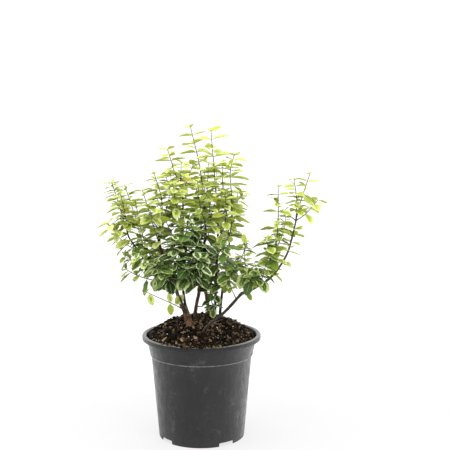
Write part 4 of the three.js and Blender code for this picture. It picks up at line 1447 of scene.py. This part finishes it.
BROAD_LEAVES = (
    ("upright_shoot_1", 0, 0.51, (0.93, -0.3, 0.1), (0, -0.85, 0.5), 20, 0.15),
    ("upright_shoot_1", 0, 0.94, (-0.4, -0.75, -0.45), (0, -0.6, 0.8), 14, 0.15),
    ("upright_stem", 0, 0.39, (0.4, -0.6, -0.7), (0, -0.8, 0.5), 16, 0.9),
    ("upright_stem", 0, 0.45, (-0.4, -0.6, -0.7), (0, -0.8, 0.5), 16, 0.95),
    ("upright_tips", 0, 0.99, (0.85, -0.35, 0.4), (-0.2, -0.85, 0.5), 16, 0.1),
    ("upright_tips", 0, 0.78, (0.8, -0.5, -0.15), (0, -0.75, 0.65), 18, 0.15),
    ("upright_tips", 0, 0.81, (-0.7, -0.65, 0.2), (0, -0.85, 0.5), 14, 0.15),
    ("inner_left_tips", 0, 0.88, (0.6, -0.7, 0.1), (0, -0.8, 0.6), 13, 0.1),
    ("front_tips", 0, 0.42, (0.75, -0.6, -0.2), (0, -0.9, 0.4), 18, 0.6),
    ("right_shoot_2", 0, 0.95, (-0.1, -0.35, 0.9), (0, -0.95, -0.3), 15, 0.1),
    ("right_shoot_2", 0, 0.4, (-0.35, -0.4, -0.85), (0, -0.9, 0.4), 25, 0.85),
    ("right_shoot_2", 0, 0.5, (0.7, -0.1, -0.7), (0.3, -0.8, 0.5), 28, 0.85),
    ("right_shoot_1", 0, 0.16, (-0.93, -0.3, 0.1), (0, -0.7, 0.7), 23, 0.6),
    ("right_shoot_1", 0, 0.26, (-0.88, -0.35, 0.3), (0, -0.65, 0.75), 18, 0.4),
    ("right_shoot_1", 0, 0.69, (-0.25, -0.8, -0.5), (0, -0.6, 0.8), 16, 0.2),
    ("right_limb", 0, 0.96, (-0.9, -0.35, 0.15), (0, -0.7, 0.7), 21, 0.3),
    ("right_limb", 0, 0.09, (0.45, -0.3, -0.84), (0.1, -0.9, 0.4), 14, 0.7),
    ("low_left_twig", 0, 0.46, (0.05, -0.3, -0.95), (0, -0.9, 0.3), 17, 0.45),
    ("low_left_twig", 0, 0.44, (-0.2, -0.25, 0.93), (0, -0.95, -0.2), 16, 0.4),
    ("low_left_twig", 0, 0.36, (0.6, -0.3, 0.75), (0, -0.9, 0.3), 20, 0.45),
    ("low_left_twig", 0, 0.93, (0.3, -0.3, -0.9), (0, -0.9, 0.3), 18, 0.5),
    ("right_tips", 0, 0.5, (0.1, -0.9, -0.35), (0, -0.5, 0.85), 17, 0.1),
    ("right_tips", 1, 0.6, (0.65, -0.35, -0.68), (0.25, -0.85, 0.4), 21, 0.15),
    ("far_left_stem", 0, 0.95, (-0.85, -0.35, -0.4), (0, -0.5, 0.85), 25, 0.3),
    ("left_tips", 0, 0.3, (-0.5, -0.8, -0.3), (-0.1, -0.6, 0.8), 24, 0.4),
    ("centre_shoot_3", 0, 0.6, (0.3, -0.85, -0.4), (0, -0.5, 0.85), 26, 0.85),
)


class Grown:
    """A twig with its line worked out."""

    STEM_STRETCH = 0.016  # the straight stretches of the CAD model's stems
    TWIG_STRETCH = 0.02  # and of its twigs
    SWELLING = 0.35  # how much thicker a twig is where it leaves its parent
    SWELLING_LENGTH = 0.004  # and how soon it thins

    def __init__(self, twig: Twig, seed: int, parent: "Grown | None") -> None:
        """Starts the twig on its parent.

        Args:
            twig: The twig's row.
            seed: Its number, which its chances are drawn from.
            parent: What it grows on, or None for the soil.
        """
        self.twig, self.seed = twig, seed
        start = [] if twig.at is None else [parent.onto_spine(parent.line.at(twig.at))]
        self.line = Line([*start, *map(Vector, twig.points)])
        stretch = self.STEM_STRETCH if twig.foot > WOODY else self.TWIG_STRETCH
        self.spine = self.line.evenly(max(3, math.ceil(self.line.lengths[-1] / stretch)))

    def onto_spine(self, point: Vector) -> Vector:
        """The nearest place to a point on the straight stretches of the twig's middle line.

        Args:
            point: The point.

        Returns:
            The place.
        """
        places = []
        for one, other in zip(self.spine, self.spine[1:]):
            share = min(1.0, max(0.0, intersect_point_line(point, one, other)[1]))
            places.append(one.lerp(other, share))
        return min(places, key=lambda place: (place - point).length)

    def chance(self, leaf: float) -> float:
        """A repeatable number from 0 to 1 for one of the twig's leaves."""
        wave = math.sin(self.seed * 12.9898 + leaf * 78.233) * 43758.5453
        return wave - math.floor(wave)

    def radius(self, share: float) -> float:
        """The twig's radius, swollen where it leaves its parent.

        Args:
            share: The share of its length.

        Returns:
            The radius.
        """
        twig = self.twig
        plain = twig.foot + (twig.tip - twig.foot) * share
        if twig.at is None:
            return plain
        along = share * self.line.lengths[-1]
        return plain * (1 + self.SWELLING * math.exp(-along / self.SWELLING_LENGTH))


@dataclass
class LeafMould:
    """Models the leaf shapes that every leaf is a copy of, one long in Y and facing +Z."""

    finishes: Finishes
    # Each row's place along the leaf and share of its full width.
    rows: tuple[Span, ...] = (
        (0.0, 0.04), (0.09, 0.045), (0.17, 0.44), (0.32, 0.87), (0.5, 1.0), (0.68, 0.92), (0.87, 0.6),
        (1.0, 0.1),
    )
    # Each kind's fold, arch and wave, from young to old.
    kinds: tuple[Place, ...] = (
        (0.42, 0.05, 0.04), (0.34, 0.12, 0.06), (0.24, 0.1, 0.08), (0.16, 0.16, 0.1), (0.08, 0.2, 0.12),
        (-0.08, 0.24, 0.1),
    )
    width: float = 0.54
    thickness: float = 0.013
    rib: float = 0.022
    stalk: float = 0.02

    def shape(self, fold: float, arch: float, wave: float) -> Piece:
        """Models one leaf.

        Args:
            fold: How steeply the two halves rise from the midrib.
            arch: How far the tip hangs below the stalk, as a share of the length.
            wave: How much the margin undulates.

        Returns:
            The leaf.
        """
        last = len(self.rows) - 1
        cuts = {"x_subdivisions": 4, "y_subdivisions": last}
        leaf = fresh(bpy.ops.mesh.primitive_grid_add, size=1, location=(0, 0.5, 0), **cuts)
        settle(leaf, "leaf").data.uv_layers[0].name = LEAF_UV
        spots = {}
        for point in leaf.data.vertices:
            spots[point.index] = (round(4 * point.co.x), round(last * point.co.y))
        with editing(leaf):
            for row, (along, broad) in enumerate(self.rows):
                mark(leaf, lambda point: spots[point.index][1] == row)
                y = row / last
                drop = -arch * along**2
                bpy.ops.transform.resize(value=(self.width * broad, 1, 1), center_override=(0, y, 0))
                bpy.ops.transform.translate(value=(0, along - y, drop))
                for side in (-2, -1, 1, 2):
                    mark(leaf, lambda point: spots[point.index] == (side, row))
                    out = 0.25 * abs(side) * self.width * broad
                    ripple = wave * (abs(side) == 2) * math.sin(2.3 * row + side)
                    rise = out * (fold * (1.1 - 0.1 * abs(side)) + ripple)
                    bpy.ops.transform.translate(value=(0, 0, rise))
            stalk = {i for i, (column, row) in spots.items() if abs(column) < 2 and row < 2}
            mark(leaf, lambda point: point.index in stalk)
            bpy.ops.transform.translate(value=(0, 0, 0.011))
            inner = {i for i, (column, row) in spots.items() if abs(column) < 2 and 0 < row < last}
            ribs = {i for i, (column, row) in spots.items() if column == 0 and 0 < row < last}
            bpy.ops.mesh.select_all(action="SELECT")
            bpy.ops.mesh.duplicate()
            bpy.ops.mesh.flip_normals()
            shape = bmesh.from_edit_mesh(leaf.data)
            for face in shape.faces:
                face.material_index = int(face.select)
            shape.verts.ensure_lookup_table()
            count = len(spots)
            deeper = self.rib - self.thickness
            for under, drop in ((inner, self.thickness), (ribs, deeper), (stalk, self.stalk)):
                mark(leaf, lambda point: point.index >= count and point.index - count in under)
                bpy.ops.transform.translate(value=(0, 0, -drop))
            bpy.ops.mesh.select_all(action="SELECT")
            bpy.ops.mesh.remove_doubles(threshold=1e-5)
        smooth(leaf, 62)
        leaf.data.materials.append(self.finishes.leaf)
        leaf.data.materials.append(self.finishes.leaf_under)
        return leaf

    def shapes(self) -> list[Piece]:
        """The leaf shapes, from folded young leaves to flat hanging old ones.

        Returns:
            The shapes, in order of age.
        """
        return [self.shape(*kind) for kind in self.kinds]


@dataclass
class Plant:
    """The bush: woody stems out of the soil, and leafy shoots on them."""

    finishes: Finishes
    across: Vector = field(default_factory=lambda: Vector((0.55, 0.8, -0.25)).normalized())
    pairing: Pairing = Pairing()
    turns: tuple[int, ...] = (0, 28, -28, 56, -56, 14, -14)
    tilts: tuple[int, ...] = (0, 8, -8, 16, -16, 30, -30)
    curl: float = 0.12  # how far a CAD leaf's tip hangs below its own plane
    tolerance: float = 0.0004  # how near to its place a CAD leaf's tip is
    stem_detail: float = 0.0018  # the length of the stretches that stems are made in
    twig_detail: float = 0.004  # and of those that twigs are made in
    fullness: float = 0.12  # how much of the room between the pairs is filled on the youngest shoots
    sprouting: float = 0.65  # how many more leaves old wood has in its axils
    stem_age: float = 0.4
    heart: Place = (-0.014, 0.0, 0.294)  # the middle of the bush, where leaves are made older and darker: partly real older leaves, partly painted shade of the bush's interior
    heart_reach: Place = (0.045, 0.11, 0.048)
    heart_darkening: float = 0.42
    draw: random.Random = field(default_factory=lambda: random.Random(5))

    def __post_init__(self) -> None:
        """Works out every twig's line."""
        self.grown: list[Grown] = []
        for seed, row in enumerate(TWIGS):
            twig = Twig.from_row(*row)
            parent = next((other for other in self.grown if other.twig.node == twig.on), None)
            self.grown.append(Grown(twig, seed, parent))

    def leaf_place(self, grown: Grown, number: float, side: int, choice: int) -> LeafPlace:
        """Where a leaf sits. Leaves grow in opposite pairs, each a quarter turn from the last.

        Args:
            grown: The twig.
            number: Which pair, from the foot; a half is midway between two pairs.
            side: Which leaf of the pair, 0 or 1.
            choice: Which of the turns and tilts keeps it clear of its neighbours.

        Returns:
            The leaf's place.
        """
        leaves, pairing = grown.twig.leaves, self.pairing
        share = number / (leaves.pairs - 1) if leaves.pairs > 1 else 1.0
        eased = share * (1 + pairing.crowding * (1 - share))
        along = leaves.first + (pairing.top * leaves.last - leaves.first) * eased
        foot = grown.onto_spine(grown.line.at(along))
        stem = grown.line.heading(along)
        east = squared(self.across, stem)
        north = stem.cross(east)
        key = 10 * number + 4 * side
        quarters = 90 * number + 180 * side
        turn = quarters + pairing.twig_turn * grown.chance(1) + pairing.leaf_turn * grown.chance(key + 2)
        at_tip = leaves.last == 1 and number == leaves.pairs - 1
        lift = pairing.lift + pairing.lift_to_end * share - pairing.age_drop * leaves.age
        lift += pairing.lift_at_tip * at_tip + pairing.lift_spread * (grown.chance(key + 3) - 0.5)
        around = math.radians(turn + self.turns[choice])
        raised = math.radians(lift + self.tilts[choice])
        out = east * math.cos(around) + north * math.sin(around)
        ahead = out * math.cos(raised) + stem * math.sin(raised)
        ahead.z = pairing.levelling * ahead.z - pairing.droop * leaves.age * (1 - 0.5 * share)
        ahead.normalize()
        face = squared(UP + pairing.lean * stem, ahead)
        roll = (pairing.roll + pairing.age_roll * leaves.age) * (grown.chance(key + 4) - 0.5)
        face.rotate(Matrix.Rotation(math.radians(roll), 3, ahead))
        taper = 1 - pairing.tip_taper * share**4 if leaves.last == 1 else 1.0
        size = pairing.shortest + pairing.spread * grown.chance(key + 5)
        return LeafPlace(foot, stem, ahead, face, leaves.length * taper * size)

    def in_cad(self, place: LeafPlace, corners: KDTree) -> bool:
        """Whether a CAD node has a leaf at a place.

        Args:
            place: The leaf's place.
            corners: The corners of the CAD node, one of which is each leaf's tip.

        Returns:
            True if it has.
        """
        tip = place.foot + place.length * (place.ahead - self.curl * place.face)
        return corners.find(tip)[2] < self.tolerance

    def broad_places(self, grown: Grown, which: int) -> Iterator[tuple[float, LeafPlace]]:
        """The single leaves that stand out on a twig.

        Args:
            grown: The twig.
            which: Which of its node's twigs it is.

        Yields:
            Each leaf's age and place.
        """
        for values in BROAD_LEAVES:
            row = BroadLeaf(*values)
            if (row.node, row.which) != (grown.twig.node, which):
                continue
            foot, stem = grown.onto_spine(grown.line.at(row.along)), grown.line.heading(row.along)
            ahead = Vector(row.ahead).normalized()
            face = squared(Vector(row.face), ahead)
            yield row.age, LeafPlace(foot, stem, ahead, face, row.length / MM)

    def kept_places(self, grown: Grown, corners: KDTree) -> Iterator[tuple[int, LeafPlace]]:
        """The leaves of a twig that its CAD node has, each turned as it is there.

        Args:
            grown: The twig.
            corners: The corners of the CAD node.

        Yields:
            Each leaf's pair and place.
        """
        for number in range(grown.twig.leaves.pairs):
            for side in (0, 1):
                for choice in range(len(self.turns)):
                    place = self.leaf_place(grown, number, side, choice)
                    if self.in_cad(place, corners):
                        yield number, place
                        break

    def between_places(self, grown: Grown) -> Iterator[tuple[float, LeafPlace]]:
        """Smaller leaves midway between the pairs, more of them on older wood.

        Args:
            grown: The twig.

        Yields:
            Each leaf's pair and place.
        """
        leaves = grown.twig.leaves
        for number in range(leaves.pairs - 1):
            share = number / leaves.pairs
            for side in (0, 1):
                if self.draw.random() < (self.fullness + leaves.age) * (1 - 0.6 * share):
                    place = self.leaf_place(grown, number + 0.5, side, 0)
                    yield number, replace(place, length=place.length * self.draw.uniform(0.55, 0.85))

    def axil_place(self, place: LeafPlace) -> LeafPlace:
        """A small leaf that has sprouted in the angle between a leaf and its twig.

        Args:
            place: The leaf's place.

        Returns:
            The small leaf's place.
        """
        turn = Matrix.Rotation(math.radians(self.draw.uniform(-75, 75)), 3, place.stem)
        ahead = (turn @ place.ahead + place.stem * self.draw.uniform(0.1, 0.8)).normalized()
        face = squared(UP + place.stem * self.draw.uniform(0.0, 0.8), ahead)
        face.rotate(Matrix.Rotation(math.radians(self.draw.uniform(-50, 50)), 3, ahead))
        return LeafPlace(place.foot, place.stem, ahead, face, place.length * self.draw.uniform(0.4, 0.7))

    def rods(self, twigs: Sequence[Grown]) -> tuple[Piece, list[Vector], list[float]]:
        """The smooth round rods of one node's stem and twigs.

        Args:
            twigs: The node's twigs.

        Returns:
            The rods, places along their middle lines, and the age of the wood at each place.
        """
        foot = twigs[0].twig.foot
        rods = fresh(bpy.ops.curve.primitive_bezier_curve_add)
        outline = rods.data
        outline.splines.clear()
        outline.dimensions, outline.bevel_depth, outline.use_fill_caps = "3D", 1.0, True
        outline.bevel_resolution = 6 if foot > STOUT else 3 if foot > WOODY else 1
        detail = self.stem_detail if foot > WOODY else self.twig_detail
        middle, ages = [], []
        for grown in twigs:
            stretches = math.ceil(grown.line.lengths[-1] / detail)
            spline = outline.splines.new("POLY")
            spline.points.add(stretches)
            places = grown.line.evenly(stretches)
            for number, (point, place) in enumerate(zip(spline.points, places)):
                point.co, point.radius = (*place, 1), grown.radius(number / stretches)
            middle += places
            ages += [grown.twig.leaves.age if grown.twig.leaves else 1.0] * len(places)
        bpy.ops.object.convert(target="MESH")
        with editing(rods):
            bpy.ops.mesh.remove_doubles(threshold=1e-5)
            bpy.ops.mesh.normals_make_consistent(inside=False)
        return rods, middle, ages

    def wood(self, name: str, twigs: Sequence[Grown]) -> Piece:
        """The bark-covered wood of one node: round, tapered, and rough where it is old.

        Args:
            name: The piece's name.
            twigs: The node's twigs.

        Returns:
            The piece.
        """
        foot = twigs[0].twig.foot
        rods, middle, ages = self.rods(twigs)
        tree = finder(middle)
        growth = []
        for point in rods.data.vertices:
            place, number, _ = tree.find(point.co)
            growth.append((ages[number], 0.5, 0.5))
            drawn_out = Vector((point.co.x, point.co.y, 0.25 * point.co.z))
            ridges = noise.fractal(drawn_out * 420, 0.8, 2.0, 3)
            knots = noise.noise(point.co * 110)
            rough = (0.11 * ridges + 0.13 * knots) if foot > WOODY else 0.05 * knots
            point.co += (point.co - place) * rough
        set_growth(rods, growth)
        settle(rods, name)
        smooth(rods, 60)
        rods.data.materials.append(self.finishes.bark if foot > BARKED else self.finishes.young_bark)
        return rods

    def foliage(self, name: str, twigs: Sequence[Grown], models: Sequence[Piece]) -> Piece | None:
        """The leaves of one node.

        Args:
            name: The piece's name.
            twigs: The node's twigs.
            models: The leaf shapes.

        Returns:
            The piece, or None where the node has no leaves.
        """
        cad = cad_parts[twigs[0].twig.node].data
        corners = finder([corner.co for corner in cad.vertices])
        parts = []
        for which, grown in enumerate(twigs):
            for age, place in self.broad_places(grown, which):
                parts.append(self.leaf(age, place, models))
            leaves = grown.twig.leaves
            if leaves is None:
                continue
            kept = list(self.kept_places(grown, corners))
            budding = self.fullness + self.sprouting * leaves.age
            axils = []
            for number, place in kept:
                if self.draw.random() < budding:
                    axils.append((number, self.axil_place(place)))
            for number, place in [*kept, *self.between_places(grown), *axils]:
                parts.append(self.leaf(leaves.age - 0.1 * number / leaves.pairs, place, models))
        return joined(name, parts) if parts else None

    def heart_shade_and_age(self, foot: Vector) -> float:
        """How much older, and so darker, than its twig's others a leaf is made for growing in the heart of
        the bush: partly real older leaves, partly painted shade of the bush's shaded interior.

        Args:
            foot: Where the leaf grows.

        Returns:
            What is added to its age.
        """
        off = [(here - middle) / reach for here, middle, reach in zip(foot, self.heart, self.heart_reach)]
        return self.heart_darkening * math.exp(-sum(share * share for share in off))

    def leaf(self, usual: float, place: LeafPlace, models: Sequence[Piece]) -> Piece:
        """One leaf, copied onto its place.

        Args:
            usual: The usual age of a leaf there, from 0 to 1.
            place: Where it sits.
            models: The leaf shapes, in order of age.

        Returns:
            The leaf.
        """
        # Leaves near the heart get older, darker colours: partly real age, partly painted shade of the
        # bush's interior.
        age = usual + self.heart_shade_and_age(place.foot) + self.draw.uniform(-0.14, 0.14)
        age = min(1.0, max(0.0, age))
        kind = min(len(models) - 1, max(0, round(age * (len(models) - 1) + self.draw.uniform(-1.2, 1.2))))
        broad = self.draw.uniform(0.86, 1.12) * (0.92 + 0.22 * age)
        turn = Matrix((place.ahead.cross(place.face), place.ahead, place.face)).transposed()
        size = Vector((broad, 1, 1)) * place.length
        pale = self.draw.random() ** 0.8
        matrix = Matrix.LocRotScale(place.foot, turn, size)
        return copied(models[kind], matrix, (age, self.draw.random(), pale))

    def build(self) -> list[Piece]:
        """Makes the wood and the leaves of every node.

        Returns:
            The pieces.
        """
        models = LeafMould(self.finishes).shapes()
        pieces = []
        for node in dict.fromkeys(grown.twig.node for grown in self.grown):
            twigs = [grown for grown in self.grown if grown.twig.node == node]
            first = twigs[0].twig
            slot = Slot.BARK if first.foot > BARKED else Slot.YOUNG_BARK
            made = [(self.wood(f"{node}_wood", twigs), slot)]
            age = first.leaves.age if first.leaves else self.stem_age
            slot = Slot.NEW_LEAF if age <= 0.3 else Slot.MID_LEAF if age <= 0.65 else Slot.OLD_LEAF
            foliage = self.foliage(f"{node}_leaves", twigs, models)
            if foliage:
                made.append((foliage, slot))
            for piece, slot in made:
                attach(piece, "root")
                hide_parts(node)
                pieces.append(piece)
        clear(*models)
        return pieces


# ---- studio ----
@dataclass
class Studio:
    """A pale floor, soft lights and the camera."""

    finishes: Finishes
    eye: Place = (0.0337, -1.3294, 0.4767)
    down: float = 7.313
    lens: float = 75.71
    floor_back: float = 0.2
    floor_side: float = 4.0
    floor_thickness: float = 0.03
    glow: Span = (1.05, 1.25)  # how bright the surroundings are in front and behind
    sheen: Span = (0.1, 1.9)  # and how bright they are in the gloss of a surface

    def floor(self) -> Piece:
        """A pale slab whose top is the ground.

        Returns:
            The slab.
        """
        place = (0, self.floor_back - self.floor_side / 2, -self.floor_thickness / 2)
        size = (self.floor_side, self.floor_side, self.floor_thickness)
        slab = fresh(bpy.ops.mesh.primitive_cube_add, size=1, location=place, scale=size)
        with editing(slab):
            bpy.ops.mesh.bevel(offset=0.003, segments=3, affect="EDGES")
        settle(slab, "floor")
        slab.data.materials.append(self.finishes.floor)
        slab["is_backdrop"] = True
        return slab

    def lamp(self, name: str, place: Place, size: float, power: float) -> None:
        """A square soft light that looks at the plant.

        Args:
            name: The light's name.
            place: Where it stands.
            size: Its side.
            power: Its power in watts.
        """
        bpy.ops.object.light_add(type="AREA", location=place)
        lamp = bpy.context.object
        lamp.name = name
        lamp.data.size, lamp.data.energy = size, power
        aim = Vector((0, 0, 0.25)) - Vector(place)
        lamp.rotation_euler = aim.to_track_quat("-Z", "Y").to_euler()

    def sky(self) -> None:
        """White surroundings, which light the plant softly and less from the front than from behind."""
        world = bpy.data.worlds.new("surroundings")
        bpy.context.scene.world = world
        world.use_nodes = True
        recipe = Recipe(world.node_tree)
        back = recipe.split(recipe.add("ShaderNodeTexCoord").outputs["Generated"])[1]
        glow = recipe.step(back, -0.75, 0.25, self.glow)
        gloss = recipe.step(back, -0.4, 0.6, self.sheen)
        path = recipe.add("ShaderNodeLightPath").outputs
        glow = recipe.add("ShaderNodeMix", {0: path["Is Glossy Ray"], 2: glow, 3: gloss}).outputs[0]
        background = world.node_tree.nodes["Background"].inputs
        background["Color"].default_value = (1, 1, 1, 1)
        seen = recipe.sums("MAXIMUM", glow, path["Is Camera Ray"])
        world.node_tree.links.new(seen, background["Strength"])

    def camera(self) -> None:
        """The camera, level and looking a little down."""
        bpy.ops.object.camera_add(location=self.eye, rotation=(math.radians(90 - self.down), 0, 0))
        camera = bpy.context.object
        camera.data.lens, camera.data.sensor_width = self.lens, 36
        camera.data.clip_start, camera.data.clip_end = 0.05, 20
        bpy.context.scene.camera = camera

    def build(self) -> None:
        """Sets everything up."""
        self.floor()
        self.lamp("overhead", (-0.25, -0.3, 1.8), 1.5, 16)
        self.lamp("front", (0.9, -1.3, 1.2), 1.0, 6)
        self.sky()
        self.camera()
        bpy.context.scene.view_settings.view_transform = "Standard"


def write_sizes() -> None:
    """Works out the CAD box and the finished model's box, which nothing then uses."""
    boxes = {"cad": CAD_BOX, "visual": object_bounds()}
    plain = {name: [list(corner) for corner in box] for name, box in boxes.items()}


def main() -> None:
    """Builds the pot, the soil, the plant and the studio, in that order."""
    logging.basicConfig(level=logging.INFO, format="%(message)s")
    finishes = Finishes()
    pot = Pot(finishes)
    pieces = [pot.build(), *Soil(finishes, pot).build(), *Plant(finishes).build()]
    Studio(finishes).build()
    for piece in pieces:
        log.info("%s: %d faces", piece.name, len(piece.data.polygons))
    write_sizes()


if __name__ == "__main__":
    main()
